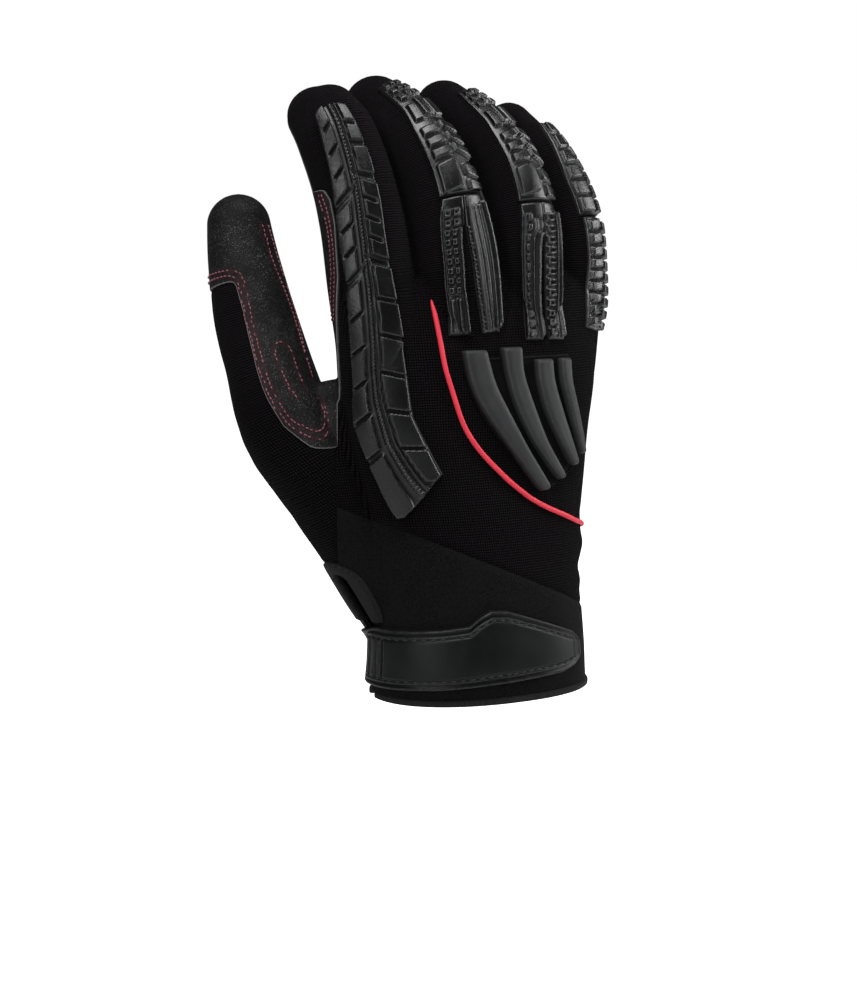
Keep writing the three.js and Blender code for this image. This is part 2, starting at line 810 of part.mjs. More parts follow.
const leather = { color: 0x2b2e2e, roughness: 0.6 };
const knit = { color: 0x15131a, roughness: 0.95 };
const suede = { color: 0x1b1b1d, roughness: 0.9 };
const rubber = { color: 0x303336, roughness: 0.38 };
const tape = { color: 0x24272a, roughness: 0.55 };
const red = { color: 0xe0303f, roughness: 0.5 };

const glove = new THREE.Group();
function add(name, solid, look) {
  const material = new THREE.MeshStandardMaterial({ ...look, metalness: 0 });
  const mesh = new THREE.Mesh(geometryOf(solid), material);
  mesh.name = name;
  glove.add(mesh);
}

add("cuff_back", cuff.behind, suede);
add("cuff_palm", cuff.ahead, leather);
add("hem_binding", hemBinding(slit), tape);
const slitTape = slitArch(slitWidth / 2 + tapeWidth, sunk, tapeHeight).subtract(slit).subtract(bed);
add("slit_binding", slitTape.subtract(halfSpace(new THREE.Vector3(0, 0, tapeFoot), up)), tape);
add("hand_back", hand.behind, knit);
add("hand_palm", hand.ahead, leather);
add("thumb_back", thumbCloth.back, knit);
add("thumb_front", thumbCloth.front, leather);
Object.entries(fingers).forEach(([name, finger], i) => {
  const end = finger.at(-1);
  const past = end.along + 2 * end.halfWidth;
  const plainRows = table(leatherColumns, [0, 98, 262], [past, 98, 262]);
  const rows = name === "index" ? indexFrontRows : plainRows;
  const cloth = wedged(fingerCloth[i], finger, rows, false);
  add(name + "_back", cloth.back, knit);
  add(name + "_front", cloth.front, leather);
});
add("wrist_strap", wristStrap(strapHeight), rubber);
add("strap_panel", strapPanel(), rubber);
add("red_piping", redPiping(), red);
add("index_guard", indexGuard(), rubber);
add("middle_tip_guard", tipGuard(fingers.middle, middleTipRows, 99), rubber);
add("middle_base_guard", leggedGuard(fingers.middle, middleLegRows, middleCapRows), rubber);
add("ring_tip_guard", tipGuard(fingers.ring, ringTipRows, 99), rubber);
add("ring_base_guard", leggedGuard(fingers.ring, ringLegRows, ringCapRows), rubber);
add("little_tip_guard", tipGuard(fingers.little, littleTipRows, 117), rubber);
add("little_base_guard", littleBaseGuard(), rubber);
add("knuckle_guard", knuckleGuard(), rubber);

export default glove;
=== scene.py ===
import bpy
import numpy as np
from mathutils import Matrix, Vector


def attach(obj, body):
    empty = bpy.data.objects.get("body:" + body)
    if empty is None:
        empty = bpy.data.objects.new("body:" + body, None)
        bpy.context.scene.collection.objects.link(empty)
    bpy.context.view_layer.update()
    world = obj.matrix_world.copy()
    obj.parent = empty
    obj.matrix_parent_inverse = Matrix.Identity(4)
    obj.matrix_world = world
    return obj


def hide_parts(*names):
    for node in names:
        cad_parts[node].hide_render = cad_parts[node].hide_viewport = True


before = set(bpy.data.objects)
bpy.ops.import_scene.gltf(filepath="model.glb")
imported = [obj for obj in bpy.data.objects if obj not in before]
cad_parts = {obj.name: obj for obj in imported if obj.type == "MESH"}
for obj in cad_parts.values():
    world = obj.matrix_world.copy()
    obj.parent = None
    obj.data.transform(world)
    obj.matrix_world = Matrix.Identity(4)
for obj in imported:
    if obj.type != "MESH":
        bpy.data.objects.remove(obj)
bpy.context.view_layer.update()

mm = 0.001  # every length below is in millimetres until a mesh is made


def table(columns, *rows):
    # one array for each named column
    return dict(zip(columns.split(), np.array(rows, float).T))


def rowsOf(given):
    # a table's rows
    return np.array(list(given.values())).T


def read(rows, at, *keys):
    # a table's columns at given values of its first one
    return [np.interp(at, next(iter(rows.values())), rows[key]) for key in keys]


# The glove's form as worn: middles, half sizes, and where each back faces in degrees from -Y to +X
digitTables = {name: table("x y z halfWidth halfThick facing", *rows) for name, rows in {
    "index": [[-29, 9, 50, 13, 13, -20], [-34, 6.5, 70, 13, 13, -20], [-38, 5, 92, 13, 13, -20],
        [-39.5, 5, 113, 13, 13, -22], [-42, 8, 138, 12.5, 12.3, -24], [-43.9, 13, 162, 12.2, 11.5, -24],
        [-46.8, 21, 181, 11.9, 10.8, -22], [-48.4, 28, 190, 11, 9.9, -20]],
    "middle": [[-5, 1, 84, 13, 13, -6], [-6, 1, 112, 13.2, 13, -8], [-7, 4, 140, 13, 12.3, -8],
        [-10, 11, 166, 12.3, 11.6, -8], [-14.5, 25, 185, 12, 11, -8], [-19, 41, 194.5, 11, 9.7, -8]],
    "ring": [[21, 4, 82, 12.5, 12.5, 6], [21.5, 4, 108, 12.5, 12.5, 4], [22.2, 6, 138, 12.2, 11.7, 2],
        [22, 12, 162, 12, 11.2, 2], [17.4, 26, 181.6, 11.4, 10.6, 2], [11, 43, 193.8, 10.4, 9.5, 2]],
    "little": [[32, 9, 58, 10, 12, 24], [38.5, 10, 80, 11, 12, 26], [44, 11, 104, 11.3, 11.5, 26],
        [47.8, 13, 130, 10.8, 10.7, 26], [47.8, 17, 153, 10.6, 10.2, 26], [43.5, 27, 173, 10.1, 9.6, 25],
        [38, 41, 186.8, 9.5, 8.8, 25]],
    "thumb": [[-23.5, 10, 15, 16, 16, -75], [-40, 13, 40, 15.5, 15, -85], [-55, 18, 66, 16.5, 15, -110],
        [-66.1, 27, 96, 16.8, 14, -150], [-70.2, 34, 118, 15.3, 12.5, -170], [-72, 40, 138, 12.5, 11.5, -178],
        [-72.5, 43, 152, 11, 10, -182]],
    "crotch": [[-30, 9, 30, 16, 14, -30], [-38, 11, 55, 20, 13, -32], [-46, 13.5, 75, 19, 11, -36],
        [-51, 15.5, 87, 17, 8.5, -38], [-52.5, 16, 92, 14, 6, -38]]}.items()}
handTable = table("z x y halfWidth halfThick squareness",
    [-18, 1.4, 0, 41.6, 28, 2.2], [-11, 1, 0, 41, 28, 2.2], [0, 1, 0, 40, 28, 2.2], [20, 1, 1, 39.5, 26, 2.2],
    [40, 0, 3, 41.5, 25, 2.3], [60, -1, 4, 44.5, 23, 2.5], [80, -2, 4, 48, 21, 2.6], [98, -0.5, 4.5, 50, 19, 2.6],
    [112, 0, 5.5, 50.5, 16.5, 2.6], [124, 1, 7, 50, 13, 2.5], [131, 1.5, 8, 48, 9.5, 2.4], [134, 2, 8.5, 45, 6, 2.3])


def unit(v):
    return v / np.maximum(np.linalg.norm(v, axis=-1, keepdims=True), 1e-9)


def smoothstep(low, high, x):
    t = np.clip((x - low) / (high - low), 0, 1)
    return t * t * (3 - 2 * t)


def lengths(path):
    # length along a path up to each of its points
    return np.concatenate([[0], np.cumsum(np.linalg.norm(np.diff(path, axis=0), axis=1))])


def between(at, places, values):
    # values, or points, read off at places between those given
    if values.ndim == 1:
        return np.interp(at, places, values)
    return np.stack([np.interp(at, places, column) for column in values.T], -1)


def summed(index, values, count):
    # sum of the rows that share an index
    return np.stack([np.bincount(index, column, count) for column in values.T], 1)


def circle(count):
    return np.linspace(0, 2 * np.pi, count, endpoint=False)


def bent(v, power):
    return np.sign(v) * np.abs(v) ** power


def mound(x, width, place=0, power=2):
    # 1 at its place, falling away over its width
    return np.exp(-((x - place) / width) ** power)


def spline(rows, count):
    # Catmull-Rom through every column: p(t) = a + t (m0 + t (3s - 2 m0 - m1 + t (m0 + m1 - 2s))), s = b - a
    p = np.array(list(rows.values()))
    s = np.linspace(0, p.shape[1] - 1, count)
    i = np.minimum(s.astype(int), p.shape[1] - 2)
    t = s - i
    a, b = p[:, i], p[:, i + 1]
    before, after = p[:, np.maximum(i - 1, 0)], p[:, np.minimum(i + 2, p.shape[1] - 1)]
    m0, m1, step = (b - before) / 2, (after - a) / 2, b - a
    return dict(zip(rows, a + t * (m0 + t * (3 * step - 2 * m0 - m1 + t * (m0 + m1 - 2 * step)))))


# How far the cloth reaches past a digit's own section, along its side and its back
sideTables = {name: table("z shift push", *rows) for name, rows in {
    "index": [[96, 0, 0], [120, -4.2, 0], [138, -5, 0], [184, -4.4, 0], [190, -3.4, 0]],
    "middle": [[96, 0, 0], [120, 3.2, 0], [138, 3.7, 0], [186, 3.2, 0], [194, 1.6, 0]],
    "thumb": [[54, 0, 0], [66, 0.6, 2.2], [76, 0.8, 4.8], [84, 0.5, 5.2], [93, 0, 3.6], [103, 0, 1.2],
        [112, 0, 0]]}.items()}
sideTrim = {"width": 0.3, "thickness": 0.9, "dome": 0.8}


def digitOf(rows, count=90):
    # way is the tangent, back the facing direction made square to it, side = back x way
    d = spline(rows, count)
    d["middle"] = np.stack([d["x"], d["y"], d["z"]], 1)
    d["way"] = unit(np.gradient(d["middle"], axis=0))
    facing = np.radians(d["facing"])
    back = np.stack([np.sin(facing), -np.cos(facing), 0 * facing], 1)
    d["back"] = unit(back - (back * d["way"]).sum(1, keepdims=True) * d["way"])
    d["side"] = np.cross(d["back"], d["way"])
    d["along"] = lengths(d["middle"])
    d["radius"] = (d["halfWidth"] + d["halfThick"]) / 2
    return d


def widerSide(name):
    # the same digit moved along its side and back axes, a little slimmer
    d = dict(digits[name])
    for axis, by in zip(("side", "back"), read(sideTables[name], d["z"], "shift", "push")):
        d["middle"] = d["middle"] + d[axis] * by[:, None]
    d["halfWidth"], d["halfThick"] = d["halfWidth"] - sideTrim["width"], d["halfThick"] - sideTrim["thickness"]
    return d


digits = {name: digitOf(rows) for name, rows in digitTables.items()}
fingerNames = ["index", "middle", "ring", "little"]
hand = spline(handTable, 160)


def gridFaces(rows, columns, closed):
    # quads of a grid of rows x columns, wrapping round when closed
    i, k = np.meshgrid(np.arange(rows - 1), np.arange(columns if closed else columns - 1), indexing="ij")
    a, b = i * columns + k, i * columns + (k + 1) % columns
    return np.stack([a, b, b + columns, a + columns], -1).reshape(-1, 4)


def triangles(quads):
    # both halves of every quad
    return np.concatenate([quads[:, [0, 1, 2]], quads[:, [0, 2, 3]]])


def capped(rings):
    # a tube through the rings (n x sides x 3), closed by a fan at both ends, as points and triangles
    n, sides = rings.shape[:2]
    points = np.concatenate([rings.reshape(-1, 3), rings[[0, -1]].mean(1)])
    k = np.arange(sides)
    after = (k + 1) % sides
    foot = np.stack([np.full(sides, n * sides), after, k], 1)
    top = np.stack([np.full(sides, n * sides + 1), k, after], 1) + [0, 1, 1] * np.array((n - 1) * sides)
    return points, np.concatenate([triangles(gridFaces(n, sides, True)), foot, top])


def joined(parts):
    # points and faces of several parts as one
    starts = np.cumsum([0] + [len(part[0]) for part in parts])
    return (np.concatenate([part[0] for part in parts]),
            np.concatenate([part[1] + start for part, start in zip(parts, starts)]))


def digitLoft(d, dome):
    # middle + back cos(a) halfThick + side sin(a) halfWidth, then the same ring shrunk over a dome
    angle = -circle(form["digitSides"])[None, :, None]
    ring = lambda c: (np.cos(angle) * d["back"][c][:, None] * d["halfThick"][c][:, None, None]
                      + np.sin(angle) * d["side"][c][:, None] * d["halfWidth"][c][:, None, None])
    body = d["middle"][:, None] + ring(slice(None))
    up = np.radians(np.linspace(*form["domeAngles"]))[:, None, None]
    tip = d["middle"][-1] + d["way"][-1] * dome * np.sin(up) + ring(slice(-1, None)) * np.cos(up)
    return capped(np.concatenate([body, tip]))


def handSection(s, a):
    # superellipse: x + halfWidth sgn(sin a)|sin a|^(2/n), y - halfThick sgn(cos a)|cos a|^(2/n)
    x, y = (bent(f(a), 2 / s["squareness"]) for f in (np.sin, np.cos))
    return s["x"] + s["halfWidth"] * x, s["y"] - s["halfThick"] * y


def handLoft():
    s = {key: column[:, None] for key, column in hand.items()}
    x, y = handSection(s, circle(form["handSides"])[None])
    return capped(np.stack([x, y, np.broadcast_to(s["z"], x.shape)], -1))


def meshObject(name, points, faces):
    # an object of the scene, from millimetres to metres
    mesh = bpy.data.meshes.new(name)
    mesh.from_pydata((points * mm).tolist(), [], np.asarray(faces).tolist())
    obj = bpy.data.objects.new(name, mesh)
    bpy.context.scene.collection.objects.link(obj)
    return obj


def evaluated(obj):
    # points in millimetres and triangles of an object with its modifiers
    graph = bpy.context.evaluated_depsgraph_get()
    mesh = obj.evaluated_get(graph).to_mesh()
    mesh.calc_loop_triangles()
    points = np.empty(len(mesh.vertices) * 3, np.float32)
    mesh.vertices.foreach_get("co", points)
    faces = np.empty(len(mesh.loop_triangles) * 3, np.int32)
    mesh.loop_triangles.foreach_get("vertices", faces)
    obj.evaluated_get(graph).to_mesh_clear()
    return points.reshape(-1, 3).astype(float) / mm, faces.reshape(-1, 3)


def normalsOf(points, faces):
    # area-weighted sum of the face normals at each point
    a, b, c = points[faces].transpose(1, 0, 2)
    return unit(summed(faces.ravel(), np.repeat(np.cross(b - a, c - a), 3, 0), len(points)))


def edgesOf(faces):
    # three directed edges of every triangle
    return np.concatenate([faces[:, [0, 1]], faces[:, [1, 2]], faces[:, [2, 0]]])


def smoothed(points, faces):
    # each point moves towards the mean of its neighbours, then back a little more, which keeps the volume
    edges = np.unique(np.sort(edgesOf(faces), 1), axis=0)
    ends, others = np.concatenate([edges, edges[:, ::-1]]).T
    degree = np.bincount(ends, minlength=len(points))[:, None]
    for share in (form["towards"], form["back"]) * form["rounds"]:
        points = points + share * (summed(ends, points[others], len(points)) / degree - points)
    return points


def atDigit(name, along):
    # a digit's line, axes and half sizes at places along it
    d = digits[name]
    return {key: between(along, d["along"], d[key])
            for key in ("middle", "back", "side", "way", "halfWidth", "halfThick", "radius")}


def placesOn(name, points):
    # nearest place on a digit's line: distance along it, turn round it, and height over its ellipse
    d = digits[name]
    middle = d["middle"]
    i = ((points ** 2).sum(1)[:, None] - 2 * points @ middle.T + (middle ** 2).sum(1)[None]).argmin(1)
    shift = ((points - middle[i]) * d["way"][i]).sum(1)
    along = d["along"][i] + shift
    s = atDigit(name, along)
    off = points - s["middle"]
    back, side = (off * s["back"]).sum(1), (off * s["side"]).sum(1)
    turn = np.arctan2(side, back)
    past = np.clip((off * s["way"]).sum(1), 0, None)
    ratio = np.hypot(back / s["halfThick"], side / s["halfWidth"])
    return {"along": along, "turn": np.degrees(turn), "across": turn * s["radius"], "radius": s["radius"],
            "height": (np.hypot(ratio, past / s["radius"]) - 1) * s["radius"]}


def handAt(z):
    # the hand's section at heights z
    return {key: np.interp(z, hand["z"], hand[key]) for key in hand}


def handExit(start, way, reach=70.0):
    # how far a ray goes until |dx/halfWidth|^n + |dy/halfThick|^n reaches 1, halving the range 24 times
    low, high = np.zeros(len(start)), np.full(len(start), reach)
    for _ in range(24):
        half = (low + high) / 2
        p = start + way * half[:, None]
        s = handAt(p[:, 2])
        n = s["squareness"]
        f = np.abs((p[:, 0] - s["x"]) / s["halfWidth"]) ** n + np.abs((p[:, 1] - s["y"]) / s["halfThick"]) ** n
        inside = (f < 1) & (p[:, 2] < hand["z"][-1])
        low, high = np.where(inside, half, low), np.where(inside, high, half)
    return low


def onFinger(name, along, across):
    # out from the finger's line at turn across / radius, as far as the finger or the hand reaches
    s = atDigit(name, along)
    turn = (across / s["radius"])[:, None]
    out = s["back"] * np.cos(turn) + s["side"] * np.sin(turn)
    own = 1 / np.hypot(np.cos(turn[:, 0]) / s["halfThick"], np.sin(turn[:, 0]) / s["halfWidth"])
    return s["middle"] + out * np.maximum(own, handExit(s["middle"], out))[:, None]


def middleAndOut(turn, z):
    # middle of the hand, and the way out at a turn in degrees from its back, positive to the little finger
    s, a = handAt(z), np.radians(turn)
    out = unit(np.stack([s["halfWidth"] * np.sin(a), -s["halfThick"] * np.cos(a), 0 * a], 1))
    return np.stack([s["x"], s["y"], z], 1), out


def roundHand(turn, z):
    start, out = middleAndOut(turn, z)
    return start + out * handExit(start, out)[:, None]


def onBack(x, z):
    # y = middle - halfThick (1 - |dx/halfWidth|^n)^(1/n)
    s = handAt(z)
    dx = np.clip(np.abs((x - s["x"]) / s["halfWidth"]), 0, 0.999)
    y = s["y"] - s["halfThick"] * (1 - dx ** s["squareness"]) ** (1 / s["squareness"])
    return np.stack([x, y, z], 1)


# Materials: procedural, on the pieces' own millimetres
class nodeMaker:
    # short names for making a tree's nodes; each input is a value or another node's output
    def __init__(self, tree):
        self.tree = tree

    def feed(self, node, inputs):
        for key, value in inputs.items():
            if isinstance(value, bpy.types.NodeSocket):
                self.tree.links.new(value, node.inputs[key])
            else:
                node.inputs[key].default_value = value

    def add(self, kind, inputs={}, **settings):
        node = self.tree.nodes.new("ShaderNode" + kind)
        for key, value in settings.items():
            setattr(node, key, value)
        self.feed(node, inputs)
        return node.outputs

    def use(self, effect, **inputs):
        return self.add("Group", {"Place": self.place, **inputs}, node_tree=effects[effect])

    def calc(self, operation, *values):
        return self.add("Math", dict(enumerate(values)), operation=operation)[0]

    def times(self, a, b, plus=0.0):
        return self.calc("MULTIPLY_ADD", a, b, plus)

    def scaled(self, place, scale):
        return self.add("VectorMath", {0: place, "Scale": scale}, operation="SCALE")[0]

    def moved(self, place, by):
        return self.add("VectorMath", {0: place, 1: by}, operation="ADD")[0]

    def noise(self, place, scale, detail, distortion=0.0, output=0):
        return self.add("TexNoise", {"Vector": place, "Scale": scale, "Detail": detail,
                                     "Distortion": distortion})[output]

    def ramp(self, value, low, high):
        # 0 below low, 1 above high, smooth between them
        return self.add("MapRange", {0: value, 1: low, 2: high}, interpolation_type="SMOOTHSTEP")[0]

    def wave(self, place, pitch):
        # |sin(pi place / pitch)|
        return self.calc("ABSOLUTE", self.calc("SINE", self.times(place, np.pi / pitch)))

    def mix(self, factor, a, b):
        return self.add("Mix", {0: factor, 2: a, 3: b})[0]

    def colour(self, factor, a, b):
        a, b = ((*c, 1) if isinstance(c, tuple) else c for c in (a, b))
        return self.add("Mix", {0: factor, 6: a, 7: b}, data_type="RGBA")[2]

    def coats(self, colour, *coats):
        # each coat is a mask, its strength and its colour
        for mask, strength, coat in coats:
            colour = self.colour(self.times(mask, strength), colour, coat)
        return colour

    def attribute(self, name):
        return self.add("Attribute", attribute_name=name)["Fac"]


def knitEffect(n, given):
    # open mesh of dots on the hand, fine ribs across the fingers
    slow = n.noise(given["Place"], 0.35, 2.0)
    apart = n.add("SeparateXYZ", {0: n.moved(given["Place"], n.times(slow, 0.5))})
    dots = n.times(n.wave(apart[0], 1.0), n.wave(apart[1], 0.92))
    loops = n.times(n.wave(apart[0], 0.62), 0.35, 0.65)
    ribs = n.times(n.times(n.wave(apart[1], 0.8), loops), 0.8, 0.1)
    fuzz = n.times(n.noise(given["Place"], 4.0, 3.0), 0.7, 0.6)
    return {"Height": n.times(n.mix(given["Ribbed"], dots, ribs), fuzz), "Patches": n.ramp(slow, 0.35, 0.7)}


def grainEffect(n, given):
    # pebbled cells of a given size between fine creases, over slow unevenness
    place = n.scaled(given["Place"], given["Scale"])
    cells = n.add("TexVoronoi", {"Vector": n.moved(place, n.noise(place, 1.0, 3.0, output=1)), "Scale": 1.6},
                  feature="SMOOTH_F1")[0]
    fine = n.noise(place, 4.0, 4.0)
    height = n.calc("SUBTRACT", n.times(fine, 0.5), n.times(cells, 0.7))
    return {"Height": height, "Fine": fine, "Patches": n.ramp(n.noise(given["Place"], 0.08, 3.0), 0.38, 0.66)}


def wearAndShadeEffect(n, given):
    # crests rubbed lighter and partly a painted highlight along their rims, broken up by noise; grooves darkened as
    # painted shade
    crestWearAndHighlight = n.times(n.ramp(given["Relief"], 0.25, 1.0), n.ramp(n.noise(given["Place"], 1.3, 4.0), 0.35, 0.65))
    return {"CrestWearAndHighlight": crestWearAndHighlight, "ShadedGroove": n.ramp(n.times(given["Relief"], -1.0), 0.2, 0.9)}


def dustEffect(n, given):
    # sparse pale specks and faint smears
    return {"Specks": n.ramp(n.noise(given["Place"], 2.2, 2.0), 0.7, 0.8),
            "Smears": n.ramp(n.noise(given["Place"], 0.12, 5.0, 1.5), 0.5, 0.75)}


def nodeGroup(name, build, *values):
    # a shared effect of a place and some values; build gives its outputs by name
    tree = bpy.data.node_groups.new(name, "ShaderNodeTree")
    n = nodeMaker(tree)
    for socket in ("Place",) + values:
        kind = "NodeSocketVector" if socket == "Place" else "NodeSocketFloat"
        tree.interface.new_socket(socket, in_out="INPUT", socket_type=kind)
    results = build(n, tree.nodes.new("NodeGroupInput").outputs)
    for socket in results:
        tree.interface.new_socket(socket, in_out="OUTPUT", socket_type="NodeSocketFloat")
    n.feed(tree.nodes.new("NodeGroupOutput"), results)
    return tree


effects = {"knit": nodeGroup("knit", knitEffect, "Ribbed"), "grain": nodeGroup("grain", grainEffect, "Scale"),
           "wear": nodeGroup("wear", wearAndShadeEffect, "Relief"), "dust": nodeGroup("dust", dustEffect)}


def finish(name, look, specular=0.5, sheen=0.0, emission=0.0):
    # a material whose Principled shader takes colour, roughness and height from its look
    material = bpy.data.materials.new(name)
    material.use_nodes = True
    n = nodeMaker(material.node_tree)
    n.place = n.scaled(n.add("TexCoord")["Object"], 1 / mm)
    colour, roughness, height, depth = look(n)
    bump = n.add("Bump", {"Height": height, "Strength": 1.0, "Distance": depth * mm})[0]
    n.feed(n.tree.nodes["Principled BSDF"], {
        "Base Color": colour, "Roughness": roughness, "Normal": bump, "Specular IOR Level": specular,
        "Sheen Weight": sheen, "Emission Strength": emission})
    return material


def knitLook(n):
    knit = n.use("knit", Place=n.add("UVMap", uv_map="cloth")[0], Ribbed=n.attribute("ribbed"))
    lit = n.calc("POWER", knit["Height"], 2.1)
    colour = n.coats(n.colour(lit, (0.0004, 0.0003, 0.0005), (0.0128, 0.0106, 0.012)),
                     (knit["Patches"], 0.35, (0.002, 0.0017, 0.0021)))
    return colour, n.mix(lit, 0.98, 0.85), knit["Height"], 0.3


def suedeLook(n):
    nap = n.use("grain", Scale=0.5)
    colour = n.coats(n.colour(n.ramp(nap["Fine"], 0.36, 0.66), (0.0024, 0.0022, 0.0024), (0.0076, 0.007, 0.0072)),
                     (nap["Patches"], 0.3, (0.0066, 0.0064, 0.0065)))
    return colour, n.mix(nap["Fine"], 0.98, 0.86), nap["Fine"], 0.12


def leatherLook(dark, bright, speck):
    def look(n):
        grain = n.use("grain", Scale=1.25)
        colour = n.colour(n.ramp(grain["Height"], -0.3, 0.2), tuple(0.5 * c for c in dark),
                          n.colour(grain["Patches"], dark, bright))
        specks = n.times(n.ramp(n.noise(n.place, 2.2, 2.0), 0.56, 0.7), n.mix(grain["Patches"], 0.3, 0.95))
        colour = n.coats(colour, (specks, 1.0, speck), (n.use("dust")["Smears"], 0.08, speck),
                         (n.attribute("thread"), 0.8, (0.026, 0.007, 0.0105)),
                         (n.attribute("edge"), 0.85, (0.15, 0.143, 0.143)))
        return colour, n.mix(grain["Patches"], 0.68, 0.55), grain["Height"], 0.22
    return look


def rubberLook(dark, bright, smooth, rough):
    def look(n):
        grain, dust = n.use("grain", Scale=2.2), n.use("dust")
        wear = n.use("wear", Relief=n.attribute("wear"))
        # grooves darkened as painted shade; crests lightened as rubbed wear and painted highlight
        colour = n.coats(n.colour(grain["Patches"], dark, bright), (wear["ShadedGroove"], 0.9, (0.001, 0.001, 0.0011)),
                         (wear["CrestWearAndHighlight"], 0.5, (0.038, 0.039, 0.04)), (dust["Specks"], 0.2, (0.07, 0.07, 0.07)))
        worn = n.times(dust["Smears"], 0.14, n.mix(grain["Fine"], smooth, rough))
        return colour, n.mix(wear["ShadedGroove"], worn, 0.9), grain["Fine"], 0.05
    return look


def tapeLook(n):
    apart, fine = n.add("SeparateXYZ", {0: n.place}), n.use("grain", Scale=3.0)["Fine"]
    height = n.times(fine, 0.5, n.times(n.wave(apart[2], 0.5), n.wave(apart[1], 0.5)))
    colour = n.colour(height, (0.004, 0.004, 0.0042), (0.015, 0.0145, 0.015))
    return colour, n.mix(fine, 0.6, 0.85), height, 0.1


def threadLook(dark, bright):
    def look(n):
        slanted = n.add("VectorMath", {0: n.place, 1: (1.0, 0.7, 1.6)}, operation="DOT_PRODUCT")["Value"]
        strands = n.wave(slanted, 0.5)
        lit = n.times(strands, n.mix(n.use("grain", Scale=2.0)["Patches"], 0.55, 1.0))
        return n.colour(lit, dark, bright), n.mix(strands, 0.75, 0.55), strands, 0.06
    return look


def pipingLook(n):
    grain = n.use("grain", Scale=2.4)
    colour = n.coats(n.colour(grain["Fine"], (0.57, 0.0215, 0.042), (0.735, 0.041, 0.07)),
                     (n.use("dust")["Smears"], 0.25, (0.5, 0.029, 0.047)))
    return colour, n.mix(grain["Fine"], 0.62, 0.45), grain["Fine"], 0.05


leathers = {  # dark, bright and speck colours
    "leather": leatherLook((0.0024, 0.0025, 0.0025), (0.0052, 0.0055, 0.0055), (0.074, 0.075, 0.075)),
    "cuff": leatherLook((0.0035, 0.0034, 0.0035), (0.006, 0.0058, 0.006), (0.011, 0.0105, 0.011))}
rubbers = {  # dark and bright colours, least and most roughness
    "guard": rubberLook((0.001, 0.0011, 0.0012), (0.0038, 0.004, 0.0042), 0.13, 0.27),
    "index": rubberLook((0.0012, 0.0013, 0.0014), (0.004, 0.0042, 0.0044), 0.15, 0.3),
    "knuckle": rubberLook((0.0135, 0.014, 0.0147), (0.0178, 0.0184, 0.0194), 0.44, 0.56),
    # the sheet's dark colours are painted shade between the knuckle ribs
    "sheet": rubberLook((0.0015, 0.0014, 0.0015), (0.003, 0.0028, 0.003), 0.6, 0.8),
    "strap": rubberLook((0.0011, 0.0014, 0.0016), (0.0021, 0.0027, 0.003), 0.3, 0.44)}
looks = {key: finish(*settings) for key, settings in {  # name, look, specular level and sheen
    "knit": ("fine black knit", knitLook, 0.03, 0.01),
    "suede": ("brushed black cloth", suedeLook, 0.04, 0.015),
    "leather": ("charcoal leather", leathers["leather"], 0.16),
    "cuffLeather": ("black leather", leathers["cuff"], 0.12),
    "guard": ("moulded rubber", rubbers["guard"], 0.53),
    "indexGuard": ("worn moulded rubber", rubbers["index"], 0.36),
    "knuckle": ("satin moulded rubber", rubbers["knuckle"], 0.28),
    "sheet": ("base rubber darkened as painted shade", rubbers["sheet"], 0.06),
    "strap": ("strap rubber", rubbers["strap"], 0.19),
    "tape": ("woven tape", tapeLook, 0.1),
    "piping": ("red piping cord", pipingLook, 0.3),
    "redThread": ("dusty red thread", threadLook((0.045, 0.012, 0.018), (0.38, 0.14, 0.17))),
    "blackThread": ("black thread", threadLook((0.001, 0.001, 0.001), (0.0055, 0.0055, 0.006)))}.items()}
print("materials:", len(looks))


# The whole glove's outer surface, fused from its lofts
form = {"voxel": 0.95, "rounds": 8, "towards": 0.5, "back": -0.515, "digitSides": 64, "handSides": 128,
        "domeAngles": (8, 88, 11), "unevenness": 0.1}


def fusedForm():
    lofts = [handLoft()] + [digitLoft(d, d["halfThick" if name == "crotch" else "radius"][-1])
                            for name, d in digits.items()]
    lofts += [digitLoft(widerSide(name), digits[name]["radius"][-1] - sideTrim["dome"]) for name in sideTables]
    obj = meshObject("form", *joined(lofts))
    remesh = obj.modifiers.new("fuse", "REMESH")
    remesh.mode, remesh.voxel_size = "VOXEL", form["voxel"] * mm
    points, faces = evaluated(obj)
    bpy.data.objects.remove(obj)
    return smoothed(points, faces), faces


points, faces = fusedForm()
print("form:", len(points), "points,", len(faces), "triangles")


# Folds of the worn cloth: a place on each, the way it runs, half lengths, half widths and depths
creases = table("x y z wayX wayY wayZ length width depth",
    [43, 2, 27, -0.5, -0.8, 0.15, 16, 3.2, 2.2], [41, -4, 36, -0.7, -0.6, 0.35, 18, 3.5, -1.0],
    [42, 0, 46, -0.6, -0.7, 0.3, 15, 2.6, 1.0], [38, -12, 20, -0.8, -0.5, -0.15, 15, 2.4, 0.8],
    [-35, -8, 33, 0.8, -0.3, 0.5, 12, 2.2, 0.7], [-40, 2, 44, 0.5, -0.5, 0.6, 14, 2.4, 0.8],
    [-46, 4, 52, 0.45, -0.3, 0.8, 14, 2.2, 0.7], [-58, 30, 60, 0.2, 0.9, 0.4, 14, 3, 0.8],
    [-66, 24, 84, 0.4, 0.9, 0.1, 10, 2, 0.6], [-52, 12, 92, 0.8, 0.5, -0.1, 8, 2.2, 1.0],
    [-46, 9, 127, 0.1, 0.9, -0.2, 9, 2, 0.6], [-50, 16, 150, 0.1, 0.9, -0.3, 9, 2.2, 0.8],
    [-18, 20, 152, 0.2, 0.9, -0.4, 9, 2, 0.8], [20, 18, 150, 0.2, 0.9, -0.3, 9, 2, 0.8],
    [50, 22, 146, 0.1, 0.9, -0.3, 9, 2, 0.7], [0, 26, 40, 1, 0, 0.3, 30, 3, 1.2],
    [-10, 26, 78, 0.8, 0, 0.6, 30, 3, 1.4], [20, 25, 104, 1, 0, -0.1, 30, 3, 1.2])


